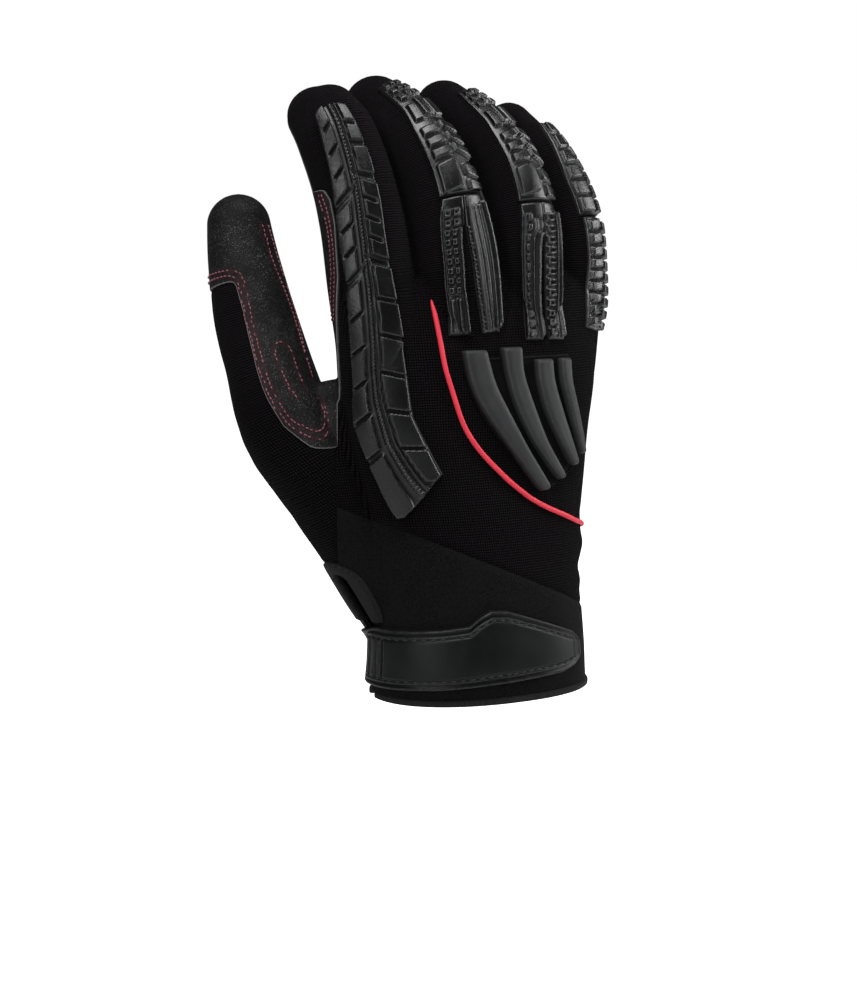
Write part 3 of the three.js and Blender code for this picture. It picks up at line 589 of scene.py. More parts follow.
def creased(points, normals):
    # inwards by depth exp(-(off / width)^2 - (run / length)^2) for each fold, and by three crossing sines
    depth = 0
    for x, y, z, wayX, wayY, wayZ, length, width, deep in rowsOf(creases):
        q = points - [x, y, z]
        run = q @ unit(np.array([wayX, wayY, wayZ]))
        depth = depth + deep * np.exp(-((q ** 2).sum(1) - run ** 2) / width ** 2 - (run / length) ** 2)
    x, y, z = points.T
    waves = (np.sin(0.19 * x + 0.11 * z + 0.7) + np.sin(0.23 * z - 0.13 * y + 2)
             + np.sin(0.17 * y + 0.21 * x - 0.09 * z))
    return points - normals * (depth + form["unevenness"] * waves)[:, None]


points = creased(points, normalsOf(points, faces))
clothForm = meshObject("form", points, faces)


# Places laid on the cloth
def snapped(places, mode="ON_SURFACE", offset=0.0):
    # nearest places on the cloth
    probe = meshObject("probe", places, np.zeros((0, 3), int))
    wrap = probe.modifiers.new("lay", "SHRINKWRAP")
    wrap.target, wrap.wrap_method, wrap.wrap_mode = clothForm, "NEAREST_SURFACEPOINT", mode
    wrap.offset = offset * mm
    found = evaluated(probe)[0]
    bpy.data.objects.remove(probe)
    return found


def normalsAt(places):
    # from the nearest places on the cloth to those a millimetre above it
    near, above = (snapped(places, mode, 1.0) for mode in ("ON_SURFACE", "ABOVE_SURFACE"))
    return unit(above - near)


def blurred(grid, passes):
    # every value becomes half of itself and a quarter of each neighbour, along both ways of the grid in turn
    for _ in range(passes):
        for axis in (0, 1):
            wide = np.moveaxis(np.pad(grid, [(int(k == axis),) * 2 for k in range(grid.ndim)], "edge"), axis, 0)
            grid = np.moveaxis(wide[:-2] / 4 + wide[1:-1] / 2 + wide[2:] / 4, 0, axis)
    return grid


def evenly(path, step=0.6):
    # the same path at an even spacing
    length = lengths(path)
    return between(np.linspace(0, length[-1], max(int(length[-1] / step), 2) + 1), length, path)


# Stitches: short threads laid along routes
stitch = {"stain": 0.8, "sides": 6, "rings": 5, "blur": 6,  # then height, pitch, length and radius of each kind
          "red": (0.68, 1.6, 1.15, 0.25), "slit": (0.6, 2.6, 1.8, 0.24), "strap": (3.05, 3.1, 2.3, 0.34)}
routes = {digit: [table("along turn", *rows) for rows in lines] for digit, lines in {
    "thumb": [
        [[85, 183], [80, 193], [76, 204], [72.5, 218], [70.8, 232], [72.5, 246], [80, 255], [90, 247.5], [106, 231],
         [120, 221], [128, 219], [132, 221.5], [133.4, 228], [133.7, 244], [134, 275], [134, 320]],
        [[84, 189], [80.5, 197], [77, 207], [74.4, 219], [73, 231], [76, 241], [81, 248], [90, 240.5], [106, 224],
         [120, 214], [129, 211.5], [133.6, 215], [135.2, 225], [135.6, 244], [136, 275], [136, 320]],
        [[153, 158], [146, 154], [140, 156], [133, 154], [125, 149], [118, 148], [112, 151], [106, 158], [100, 165],
         [94, 172], [88, 182]],
        [[153, 142], [147, 138], [139, 139], [131, 138], [124, 136], [116, 138], [109, 148], [103, 160], [97, 167],
         [91, 178]],
        [[85, 222], [93, 217], [99, 212], [104, 209], [106.6, 204], [107.4, 197], [106.6, 189], [104, 185],
         [99, 190], [94, 196], [89, 201], [85, 204]]],
    "index": [
        [[118, 66], [114, 62], [109, 57], [104, 54], [97, 56], [88, 63], [78, 77], [70, 88]],
        [[118, 55], [114, 51.5], [109, 48], [104, 47], [97, 48], [88, 54], [78, 66], [70, 77]]]}.items()}


def digitPlace(name, along, turn):
    # on a digit's own ellipse
    s = atDigit(name, along)
    t = np.radians(turn)[:, None]
    return (s["middle"] + s["back"] * np.cos(t) * s["halfThick"][:, None]
            + s["side"] * np.sin(t) * s["halfWidth"][:, None])


def routePaths(digit, lines):
    # even paths on the cloth along a digit's stitched lines
    paths = []
    for rows in lines:
        smooth = spline(rows, 200)
        path = evenly(snapped(digitPlace(digit, smooth["along"], smooth["turn"])))
        for _ in range(3):
            path = evenly(snapped(blurred(path[:, None], stitch["blur"])[:, 0]))
        paths.append(path)
    return paths


stitchPaths = {digit: routePaths(digit, rows) for digit, rows in routes.items()}


def nearThreads(places):
    # exp(-(d / reach)^2) with d the distance to the nearest stitched line
    lines = np.concatenate([path[::2] for paths in stitchPaths.values() for path in paths])
    square = (places ** 2).sum(1)[:, None] - 2 * places @ lines.T + (lines ** 2).sum(1)[None]
    return np.exp(-np.clip(square.min(1), 0, None) / stitch["stain"] ** 2)


# The seams, each as a distance in millimetres that is above zero on one side of it
seams = {"cuffRise": 0.43, "cuffMiddle": 31.7, "side": 8.0, "root": 135.0, "crotchTop": 103.0,
         "slitTurn": -103.0, "turnPerMillimetre": 2.2, "slitHalf": 2.2, "slitTop": 28.8, "patchTop": 131.7,
         "patchFoot": 66.0, "thumbFoot": 33.0, "hem": -11.6, "widest": 80.0,
         "thumbMiddle": (-56.0, 1.5), "thumbWay": (-0.866, 0.5), "patchCorners": (2.5, 1.2),
         "least": 0.04}  # no point lies nearer to a seam than the least
weave = {"ribs": (126, 140), "thumbRibs": (75, 100),  # where the mesh turns into ribs
         "hand": 1.06}  # share of the hand's section beyond which the cloth's width grows
indexLeather = table("along from to",
    [0, 95, 262], [55, 95, 262], [65, 78, 262], [87, 50, 262], [104, 41, 262], [113, 42, 262], [117, 50, 262],
    [119.5, 98, 262], [170, 98, 262])
thumbLeather = table("along from to",
    [60, 100, 236], [66, 95, 245], [70, 95, 258], [80, 95, 262], [90, 95, 254], [106, 95, 238], [120, 95, 228],
    [132, 95, 227])
plainLeather = table("along from to", [0, 98, 262], [170, 98, 262])


def inSector(place, rows):
    # how far inside the leather's two edges a place lies, round the digit
    start, end = read(rows, place["along"], "from", "to")
    off = np.abs((place["turn"] - (start + end) / 2 + 180) % 360 - 180)
    return np.radians((end - start) / 2 - off) * place["radius"]


def blended(a, b, radius):
    # the larger of two distances with a rounded corner: r log(exp(a / r) + exp(b / r))
    return radius * np.logaddexp(a / radius, b / radius)


def arcTable():
    # length round the back of the hand at its widest for every degree of turn
    turn = np.arange(-180.0, 181)
    length = lengths(roundHand(turn, np.full(len(turn), seams["widest"])))
    return turn, length - np.interp(0, turn, length)


def wholeCloth(points, faces):
    # every point's distance to each seam, and its place on the knit as u across, v along and how ribbed it is
    x, y, z = points.T
    on = {name: placesOn(name, points) for name in fingerNames + ["thumb"]}
    heights = np.stack([on[name]["height"] for name in on], 1)
    nearest = heights.argmin(1)
    s = handAt(z)
    turn = np.degrees(np.arctan2((x - s["x"]) / s["halfWidth"], -(y - s["y"]) / s["halfThick"]))
    beyond = sum(way * (value - middle)
                 for way, value, middle in zip(seams["thumbWay"], (x, y), seams["thumbMiddle"]))
    part = {"points": points, "faces": faces, "normals": normalsOf(points, faces)}
    slanted = (seams["cuffMiddle"] - seams["cuffRise"] * x - z) / np.hypot(1, seams["cuffRise"])
    part["cuff"] = np.minimum(slanted, np.maximum(-beyond, seams["thumbFoot"] - z))
    part["hem"] = z - seams["hem"]
    part["side"] = y - seams["side"]
    part["root"] = z - seams["root"]
    part["thumb"] = np.where(z < seams["crotchTop"], beyond, np.where(nearest == 4, 10, -10))
    slitAcross = (turn - seams["slitTurn"]) / seams["turnPerMillimetre"]
    part["slit"] = np.hypot(slitAcross, np.maximum(z - seams["slitTop"], 0)) - seams["slitHalf"]
    near = on["index"]
    strip = np.radians(near["turn"] - read(indexLeather, near["along"], "from")[0])
    strip = np.where(near["turn"] > 0, strip * near["radius"], -20)
    part["palm"] = np.maximum(part["side"], strip)
    along = on["thumb"]["along"]
    footCorner, topCorner = seams["patchCorners"]
    lower = -blended(-inSector(on["thumb"], thumbLeather), seams["patchFoot"] - along, footCorner)
    part["patch"] = blended(lower, along - seams["patchTop"], topCorner)
    ribbed = smoothstep(*weave["ribs"], z)
    outside = np.hypot((x - s["x"]) / s["halfWidth"], (y - s["y"]) / s["halfThick"]) - weave["hand"]
    u = np.interp(turn, *arcTable()) + np.sign(turn) * np.clip(outside, 0, None) * s["halfWidth"]
    v = z.copy()
    for k, name in enumerate(on):
        others = np.delete(heights, k, 1).min(1)
        part[name + "Apart"] = (others - heights[:, k]) / 2
        part[name + "Leather"] = inSector(on[name], indexLeather if name == "index" else plainLeather)
        d = digits[name]
        rootAlong = np.interp(seams["root"], d["z"], d["along"])
        own = part["thumb"] > 0 if name == "thumb" else (nearest == k) & (part["thumb"] <= 0)
        uOwn = np.interp(seams["root"], d["z"], d["x"]) - on[name]["across"]
        vOwn = seams["root"] + on[name]["along"] - rootAlong
        share = 1.0 if name == "thumb" else ribbed
        u = np.where(own, u + share * (uOwn - u), u)
        v = np.where(own, v + share * (vOwn - v), v)
    part["ribbed"] = np.where(part["thumb"] > 0, smoothstep(*weave["thumbRibs"], on["thumb"]["along"]), ribbed)
    part["u"], part["v"] = u, v
    return part


def clipped(part, seam, side):
    # keeps what lies on one side of a seam; new points stand where the distance crosses zero on an edge
    f = part[seam] * side
    f = np.where(np.abs(f) < seams["least"], np.where(f < 0, -seams["least"], seams["least"]), f)
    faces = part["faces"]
    inside = f[faces] > 0
    count = inside.sum(1)
    turned = lambda rows, first: rows[np.arange(len(rows))[:, None], (first[:, None] + np.arange(3)) % 3]
    one = turned(faces[count == 1], inside[count == 1].argmax(1))
    two = turned(faces[count == 2], (~inside[count == 2]).argmax(1))
    edges = np.sort(np.concatenate([one[:, [0, 1]], one[:, [0, 2]], two[:, [0, 1]], two[:, [0, 2]]]), 1)
    (a, b), index = (lambda e: (e[0].T, e[1].ravel()))(np.unique(edges, axis=0, return_inverse=True))
    p, q, r, s = np.split(len(f) + index, np.cumsum([len(one), len(one), len(two)]))
    faces = np.concatenate([faces[count == 3], np.stack([one[:, 0], p, q], 1),
                            np.stack([r, two[:, 1], two[:, 2]], 1), np.stack([r, two[:, 2], s], 1)])
    t = f[a] / (f[a] - f[b])
    used, order = np.unique(faces, return_inverse=True)
    made = {"faces": order.reshape(-1, 3)}
    for key, value in part.items():
        if key != "faces":
            step = t[:, None] if value.ndim == 2 else t
            made[key] = np.concatenate([value, value[a] + (value[b] - value[a]) * step])[used]
    made["normals"] = unit(made["normals"])
    return made


def boundaryEdges(faces):
    # directed edges without an opposite
    edges = edgesOf(faces)
    size = faces.max() + 1
    return edges[~np.isin(edges[:, 0] * size + edges[:, 1], edges[:, 1] * size + edges[:, 0])]


def finished(name, points, faces, look, slotName, values={}, flat=None, new=False):
    # one piece riding with the glove, with "edge" on its faces and other values on its points
    obj = meshObject(name if new else name + "_" + slotName, points, faces)
    mesh = obj.data
    mesh.polygons.foreach_set("use_smooth", np.ones(len(mesh.polygons), bool) if flat is None else ~flat)
    for key, found in values.items():
        layer = mesh.attributes.new(key, "FLOAT", "FACE" if key == "edge" else "POINT")
        layer.data.foreach_set("value", found.astype(np.float32))
    mesh.materials.append(looks[look])
    mesh.update()
    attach(obj, "root")
    if not new:
        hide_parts(name)
    print(name + ":", sum(len(p.vertices) - 2 for p in mesh.polygons), "triangles")
    return obj


# Cloth panels: thickness, how far a knit edge is drawn in at its seam, and how wide the seam's shading is blended
panel = {"wall": 1.4, "tuck": 0.5, "tuckWidth": 0.9, "rootBlend": 1.5}
clothRim = [(0.0, -0.5, 0.0)]  # the steps of an edge: out, up, and how pale it is
leatherRim = [(0.28, -0.22, 1.0), (0.32, -0.9, 0.35)]
panelKinds = {"knit": ("knit", 0, clothRim), "leather": ("leather", 0.35, leatherRim),  # slot, lift and rim
              "suede": ("suede", 0.1, clothRim), "cuffLeather": ("leather", 0.1, clothRim)}


def shell(name, part, look, tuckSeams):
    # outer wall lifted and tucked at its seams, inner wall a thickness below, and rings that step down between
    slotName, lift, rim = panelKinds[look]
    points, normals, faces = part["points"], part["normals"], part["faces"]
    tuck = 0
    if tuckSeams:
        near = np.min([np.abs(part[seam]) for seam in tuckSeams], 0)
        tuck = panel["tuck"] * mound(near, panel["tuckWidth"])
    outer = points + normals * np.reshape(lift - tuck, (-1, 1))
    inner = points - normals * panel["wall"]
    edges = boundaryEdges(faces)
    corners = np.unique(edges)
    place = np.zeros(len(points), int)
    place[corners] = np.arange(len(corners))
    away = np.cross(unit(points[edges[:, 1]] - points[edges[:, 0]]), normals[edges].mean(1))
    out = unit(summed(place[edges].ravel(), np.repeat(away, 2, 0), len(corners)))
    n, m = len(points), len(corners)
    rings = [outer[corners] + out * shift + normals[corners] * drop for shift, drop, _ in rim]
    levels = [corners] + [2 * n + k * m + np.arange(m) for k in range(len(rim))] + [corners + n]
    a, b = place[edges].T
    walls = [np.stack([up[b], up[a], down[a], down[b]], 1) for up, down in zip(levels, levels[1:])]
    tris = np.concatenate([faces, faces[:, ::-1] + n])
    allFaces = np.concatenate([tris, triangles(np.concatenate(walls))])
    allPoints = np.concatenate([outer, inner] + rings)
    pale = np.repeat([step[2] for step in rim] + [rim[-1][2] * 0.3], len(edges))
    flat = np.arange(len(allFaces)) >= len(tris)
    grown = lambda values: np.concatenate([values, values] + [values[corners]] * len(rim))
    values = {"ribbed": grown(part["ribbed"]), "edge": np.concatenate([np.zeros(len(tris)), pale, pale])}
    if slotName == "leather":
        values["thread"] = grown(nearThreads(points))
    mesh = finished(name, allPoints, allFaces, look, slotName, values, flat).data
    uv = np.stack([grown(part["u"]), grown(part["v"])], 1)
    loops = np.empty(len(mesh.loops), np.int32)
    mesh.loops.foreach_get("vertex_index", loops)
    mesh.uv_layers.new(name="cloth").data.foreach_set("uv", uv[loops].astype(np.float32).ravel())
    own = normalsOf(outer, faces)
    keep = mound(part["root"], panel["rootBlend"])[:, None]
    custom = np.zeros((len(loops), 3), np.float32)
    onOuter = np.repeat(~flat, 3) & (loops < n)
    custom[onOuter] = unit(own + (normals - own) * keep)[loops[onOuter]]
    mesh.normals_split_custom_set(custom.tolist())


def panels():
    # every cloth panel, cut from the whole along its seams
    whole = wholeCloth(points, faces)
    cut = lambda part, *steps: part if not steps else cut(clipped(part, *steps[0]), *steps[1:])
    rest = cut(whole, ("cuff", -1))
    pairs = [("cuff", "palm", cut(whole, ("cuff", 1), ("slit", 1), ("hem", 1)), "side", ["cuff", "side"]),
             ("hand", "palm", cut(rest, ("thumb", -1), ("root", -1)), "palm", ["cuff", "thumb", "palm"]),
             ("thumb", "front", cut(rest, ("thumb", 1)), "patch", ["cuff", "thumb", "patch"])]
    pairs += [(name, "front", cut(rest, ("root", 1), (name + "Apart", 1)), name + "Leather", [name + "Leather"])
              for name in fingerNames]
    for name, other, part, seam, tucked in pairs:
        cuff = name == "cuff"
        shell(name + "_back", cut(part, (seam, -1)), "suede" if cuff else "knit", tucked)
        shell(name + "_" + other, cut(part, (seam, 1)), "cuffLeather" if cuff else "leather", tucked if cuff else [])


# Grids laid on the cloth: how often the shift onto it, the normals and the crests and grooves for rubbed wear and
# painted shade are blurred
relief = {"shiftPasses": 30, "normalPasses": 14, "wearAndShadePasses": 6, "wear": 2}


def laid(grid):
    # a grid moved onto the cloth, each point by the blurred shift of its neighbourhood
    return grid + blurred(snapped(grid.reshape(-1, 3)).reshape(grid.shape) - grid, relief["shiftPasses"])


def reliefSlab(base, height, sink=0.6):
    # upper side at base + normal height, lower side at base - normal sink, walls along the border, and the crests and
    # grooves that carry rubbed wear, painted highlight and painted shade
    rows, columns = height.shape
    normal = unit(blurred(np.cross(np.gradient(base, axis=1), np.gradient(base, axis=0)), relief["normalPasses"]))
    made = np.concatenate([(base + normal * height[..., None]).reshape(-1, 3), (base - normal * sink).reshape(-1, 3)])
    top = gridFaces(rows, columns, False)
    n = rows * columns
    index = np.arange(n).reshape(rows, columns)
    border = np.concatenate([index[0, :-1], index[:-1, -1], index[-1, :0:-1], index[:0:-1, 0]])
    after = np.roll(border, -1)
    walls = np.stack([border + n, after + n, after, border], 1)
    wear = np.clip((height - blurred(height, relief["wearAndShadePasses"])) * relief["wear"], -1, 1).ravel()
    return made, np.concatenate([top, top[:, ::-1] + n, walls]), np.concatenate([wear, np.zeros(n)])


def reliefPiece(name, slabs, look, slotName, new=False):
    # slabs joined into one piece; its crest-and-groove value is above zero on crests, lightened as rubbed wear and
    # painted highlight, and below zero in grooves, darkened as painted shade
    finished(name, *joined(slabs), look, slotName, {"wear": np.concatenate([slab[2] for slab in slabs])}, new=new)


# Moulded guards on the fingers: outlines, then the cells that stand on their base sheet
guard = {"step": 0.36, "sheet": 1.3, "rimWidth": 0.7, "cellEdge": 0.34, "cellGap": 0.8, "ringWall": 0.55,
         "ringSlope": 0.3, "ringDepth": 0.7, "rimFoot": 0.25}
indexRelief = {"margin": 0.4, "middle": 2.15, "ridgeRise": 1.2, "ridgePlace": -1.55, "ridgeWidth": 0.34,
               "beadRise": 1.1, "beadWidth": 0.78, "beadPitch": 1.2, "beadSlant": 0.6, "beadShare": 0.55,
               "creaseWidth": 0.7, "creaseShare": 0.85, "creaseDepth": 0.3}
edgeColumns = "along left right"
indexOutline = table(edgeColumns,
    [7, 1.4, -0.4], [10, 2.4, -2.8], [18.5, 4.4, -9.2], [26, 6.5, -8.4], [39, 9.7, -6.8], [62, 9.3, -8.6],
    [85, 7.2, -8.7], [98, 7.4, -8.6], [109, 7, -9.1], [122, 5.4, -9.5], [133, 4.4, -9.2], [139, 3.4, -8.6],
    [142, 1.4, -7.2])
indexCentre = table("along across",
    [7, -5], [13, -4.8], [19.5, -3], [31.5, 0.2], [45, 1.8], [55.5, 2.2], [68, 1.3], [81.5, 0.2], [94, -0.4],
    [102.5, -0.6], [115, -1.4], [125.5, -2.1], [134.5, -2.7], [142, -3.2])
indexCells = {
    "left": table("start end count slant rise merged", [5, 25.8, 1, 0.76, 1.6, 0], [26.5, 82.3, 5, 0.76, 1.6, 0.7],
                  [84.2, 107.6, 3, 0.8, 1.5, 1.7], [109.8, 141, 4, 0.9, 1.6, 1.7]),
    "right": table("start end count slant rise merged", [4.7, 88, 7, 0.33, 1.6, 0], [89.6, 115.2, 4, 0.5, 1.5, 1.5],
                   [117, 127, 1, 0.25, 1.7, 0], [127.4, 141, 2, 0.4, 1.6, 1.2])}
indexCrease = {"left": (0.8, 83.2, 108.7), "right": (0.4, 88.8, 116.1)}  # slant, then places

tipCells = [[76.8, 86.6, 1, 0.1, 0.5, 0.2, 1.2, 0], [76.4, 86, 2, 0.6, 0.94, -0.2, 1.2, 0],
            [87.2, 99.4, 3, 0.12, 0.5, 0.1, 1.5, 0], [88.5, 101, 3, 0.58, 0.94, -0.35, 1.6, 0],
            [101.4, 109, 1, 0.12, 0.37, 0, 1.5, 0], [102.4, 110.6, 1, 0.42, 0.62, 0, 1.5, 0],
            [102, 110, 1, 0.66, 0.92, 0, 1.4, 0], [110, 120.6, 3, 0.14, 0.39, 0, 1.4, 0],
            [111.4, 120.6, 3, 0.44, 0.64, 0, 1.5, 0], [111, 120.6, 3, 0.68, 0.92, 0, 1.4, 0]]
fingerGuards = {  # the edges and cells of every sheet
    "middle_tip_guard": [
        ([[76.4, 6, -13.2], [80, 5.6, -13.6], [90, 4.6, -12.8], [100, 3.5, -12], [111, 1, -10.5], [121, -1, -8.5]],
         tipCells)],
    "middle_base_guard": [
        ([[30, 9, 2], [46, 9.8, 2.8], [60, 9, 1.8], [64.5, 8.5, 1], [67, 8.1, -0.9], [69, 7.8, -1.2],
          [75.8, 5.4, -2.6]],
         [[43.6, 72.6, 9, 0.15, 0.44, 0, 1.5, 1], [43.6, 72.6, 9, 0.5, 0.78, 0, 1.5, 1],
          [30.8, 42.8, 1, 0.16, 0.4, 0, 1.4, 0], [30.8, 42.8, 1, 0.5, 0.74, 0, 1.5, 0],
          [30.6, 66, 1, 0.84, 1, 0, 1.9, 0], [30.6, 74, 1, 0, 0.1, 0, 1, 0]]),
        ([[30, -2.3, -10.6], [46, -1, -11.6], [60, -0.8, -11.4], [67, -0.9, -11.2], [75.8, -2.5, -10.6]],
         [[31, 66, 26, 0.02, 0.14, 0, 1.6, 0], [31, 73, 1, 0.2, 0.32, 0, 1.4, 0], [31, 73, 1, 0.39, 0.5, 0, 1.4, 0],
          [31, 73, 1, 0.57, 0.7, 0, 1.4, 0], [31, 74, 1, 0.8, 1, 0, 1.9, 0]])],
    "ring_tip_guard": [
        ([[75.4, 6.4, -12.6], [79, 6, -13], [90, 4.3, -12.2], [101, 3, -11], [112, 1, -10], [121, -1, -8]],
         tipCells)],
    "ring_base_guard": [
        ([[29, 7.4, 2], [46, 8, 1.8], [60, 7.6, 0.6], [63.5, 7.3, 0], [66, 7.1, -1.8], [68, 6.9, -2],
          [74.8, 6, -2.4]],
         [[29.8, 73, 1, 0, 0.12, 0, 1.2, 0], [29.8, 72, 13, 0.24, 0.46, 0, 1.4, 0],
          [29.8, 70, 1, 0.55, 0.7, 0, 1.3, 0], [29.8, 66, 1, 0.82, 1, 0, 2, 0]]),
        ([[29, 0, -5.8], [46, -0.6, -9.2], [60, -1.4, -10.8], [66, -1.8, -11.4], [74.8, -2.4, -11.2]],
         [[29.8, 72, 12, 0.06, 0.4, 0, 1.7, 1], [29.8, 72, 1, 0.5, 0.64, 0, 1.3, 0],
          [29.8, 73, 1, 0.76, 0.98, 0, 1.6, 0]])],
    "little_tip_guard": [
        ([[96.2, 6.2, -8.6], [109, 6, -8.6], [120, 4, -8], [131, 1.6, -6.6]],
         [[96.8, 130.6, 6, 0.1, 0.47, 0, 1.6, 0], [96.8, 130.6, 7, 0.54, 0.94, 0, 1.6, 0]])],
    "little_base_guard": [
        ([[57, 7.6, -1.8], [67, 7, -5.2], [81, 4.6, -7.6], [95.6, 4.6, -7.6]],
         [[57.6, 95, 9, 0.06, 0.47, 0.15, 1.7, 0], [57.6, 95, 9, 0.53, 0.95, -0.15, 1.7, 0]])]}


def cellHeight(along, offLeft, offRight, start, end, count, slant, rise, hollow=0, merged=0):
    # rise smoothstep(0, edge, d), d the least distance to a cell's four sides; a hollow cell sinks past its wall
    # and merged ones are one cell within that distance of their outer side
    a = along - start - slant * np.maximum(offLeft, 0)
    pitch = (end - start) / count
    within = a - np.clip(np.floor(a / pitch), 0, count - 1) * pitch
    within = np.minimum(within, pitch - guard["cellGap"] - within)
    inner = (a > pitch / 2) & (a < end - start - pitch / 2)
    within = np.where(inner, np.maximum(within, merged - offLeft), within)
    d = np.minimum.reduce([within, offLeft, offRight])
    dent = smoothstep(guard["ringWall"], guard["ringWall"] + guard["ringSlope"], d) if hollow else 0
    return rise * (smoothstep(0, guard["cellEdge"], d) - guard["ringDepth"] * dent)


def rimmed(height, distance, width=guard["rimWidth"], foot=guard["rimFoot"]):
    # rounded off towards the outline: height (foot + (1 - foot) sqrt(1 - (1 - distance / width)^2))
    return height * (foot + (1 - foot) * np.sqrt(1 - (1 - np.clip(distance / width, 0, 1)) ** 2))


def guardGrid(name, rows):
    # grid along a finger between a guard's two edges: places along and across, share of the width, and border
    first, last = rows["along"][[0, -1]]
    widest = (rows["left"] - rows["right"]).max()
    a = np.linspace(first, last, int((last - first) / guard["step"]) + 1)
    t = np.linspace(0, 1, int(widest / guard["step"]) + 1)
    left, right = read(rows, a, "left", "right")
    across = left[:, None] + (right - left)[:, None] * t
    along = np.broadcast_to(a[:, None], across.shape)
    base = onFinger(name, along.ravel(), across.ravel()).reshape(across.shape + (3,))
    width = (left - right)[:, None]
    border = np.minimum(np.minimum(t, 1 - t) * width, np.minimum(along - first, last - along))
    return laid(base), along, across, t[None], width, border


def cellSlab(name, rows, cells):
    # cells, each from start to end along and left to right in shares of the width, with slant, rise and hollow
    base, along, _, t, width, border = guardGrid(name, rows)
    raised = 0
    for start, end, count, left, right, slant, rise, hollow in cells:
        raised = np.maximum(raised, cellHeight(along, (t - left) * width, (right - t) * width,
                                               start, end, count, slant, rise, hollow))
    return reliefSlab(base, rimmed(guard["sheet"] + raised, border))


def indexSlab():
    # cells on both sides of a ridge and a row of beads, cut by creases
    base, along, across, _, _, border = guardGrid("index", indexOutline)
    left, right = read(indexOutline, along, "left", "right")
    s = across - read(indexCentre, along, "across")[0]
    raised = 0
    r = indexRelief
    for side, outer, inner in (("left", left - across - r["margin"], s - r["middle"]),
                               ("right", across - right - r["margin"], -s - r["middle"])):
        for start, end, count, slant, rise, merged in rowsOf(indexCells[side]):
            raised = np.maximum(raised, cellHeight(along, outer, inner, start, end, count, slant, rise, 0, merged))
    ridges = r["ridgeRise"] * mound(s, r["ridgeWidth"], r["ridgePlace"])
    waves = np.abs(np.sin(np.pi * (along + r["beadSlant"] * s) / r["beadPitch"]))
    beads = r["beadRise"] * mound(s, r["beadWidth"], power=4) * (1 - r["beadShare"] * (1 - waves))
    raised = np.maximum(raised, np.maximum(ridges, beads))
    crease = 0
    for side, off in (("left", left - across), ("right", across - right)):
        own = (s > 0) == (side == "left")
        slant, *places = indexCrease[side]
        for place in places:
            d = along - slant * np.maximum(off, 0) - place
            crease = np.maximum(crease, own * mound(d, r["creaseWidth"]))
    height = guard["sheet"] + raised * (1 - r["creaseShare"] * crease) - r["creaseDepth"] * crease
    return reliefSlab(base, rimmed(height, border))


# Claw-shaped ribs over the knuckles, on a sheet whose dark colour is painted shade between them
knuckle = {"step": 0.4, "tip": 2.4, "narrowing": 0.38, "foot": 2.4, "crown": 1.1, "ends": (1.6, 0.35),
           "sheet": 0.5, "lip": (0.5, 0.5, 0.8)}  # rise, width and place of the lip
ribColumns = "z left right"
ribTables = [
    table(ribColumns, [59, 13.2, 16.4], [61, 11.9, 17.4], [75, 1.2, 8.8], [88, -8.2, 1.8], [98, -12.8, -2.7],
          [109, -14.2, -4.9]),
    table(ribColumns, [62.4, 21.4, 23.8], [64.4, 19.9, 24.6], [77, 10.4, 17.2], [89, 4.6, 12.5], [100, 2, 9.6],
          [109.5, 1.5, 10]),
    table(ribColumns, [66.8, 28.8, 31.2], [68.8, 27, 31.6], [85, 17.8, 25.7], [96.5, 14.8, 22.4], [105, 14.8, 22.2]),
    table(ribColumns, [70.4, 33.4, 35.4], [72, 32.4, 35.6], [85, 28, 32.6], [96.5, 25.2, 30.2], [105, 25.3, 30.4])]
knuckleSheet = table(ribColumns,
    [60, 14, 19], [62, 12, 24.6], [67, 7.4, 31.5], [71, 4.2, 36], [76, -0.4, 36.4], [87, -8.6, 33.2], [98, -13.4, 31],
    [106.6, -14.6, 31])


def backGrid(rows, step, tip=0):
    # grid between two edges on the back of the hand, from low to high, drawn to a half circle at a rounded tip,
    # with the distance to its sides and to its ends
    first, last = rows["z"][[0, -1]]
    z = np.linspace(first, last, int((last - first) / step) + 1)
    t = np.linspace(0, 1, max(int((rows["right"] - rows["left"]).max() / step), 6) + 1)
    left, right = read(spline(rows, 120), z, "left", "right")
    if tip:
        bend = 1 - np.sqrt(1 - (1 - np.clip((z - first) / tip, 0, 1)) ** 2)
        narrow = (right - left) * knuckle["narrowing"] * bend
        left, right = left + narrow, right - narrow
    x = left[:, None] + (right - left)[:, None] * t
    zs = np.broadcast_to(z[:, None], x.shape)
    base = onBack(x.ravel(), zs.ravel()).reshape(x.shape + (3,))
    sides = np.minimum(t, 1 - t) * (right - left)[:, None]
    return laid(base), t[None], sides, np.minimum(zs - first, last - zs)


def ribSlab(rows):
    # crowned across: foot + crown (1 - |2t - 1|^4), rounded off at both ends
    base, t, sides, ends = backGrid(rows, knuckle["step"], knuckle["tip"])
    height = knuckle["foot"] + knuckle["crown"] * (1 - np.abs(2 * t - 1) ** 4)
    return reliefSlab(base, rimmed(rimmed(height, ends, *knuckle["ends"]), sides))


def sheetSlab():
    # flat, with a low lip along its border; its dark colour is painted shade between the ribs
    base, _, sides, ends = backGrid(knuckleSheet, knuckle["step"])
    border = np.minimum(sides, ends)
    rise, *shape = knuckle["lip"]
    return reliefSlab(base, rimmed(knuckle["sheet"] + rise * mound(border, *shape), border))


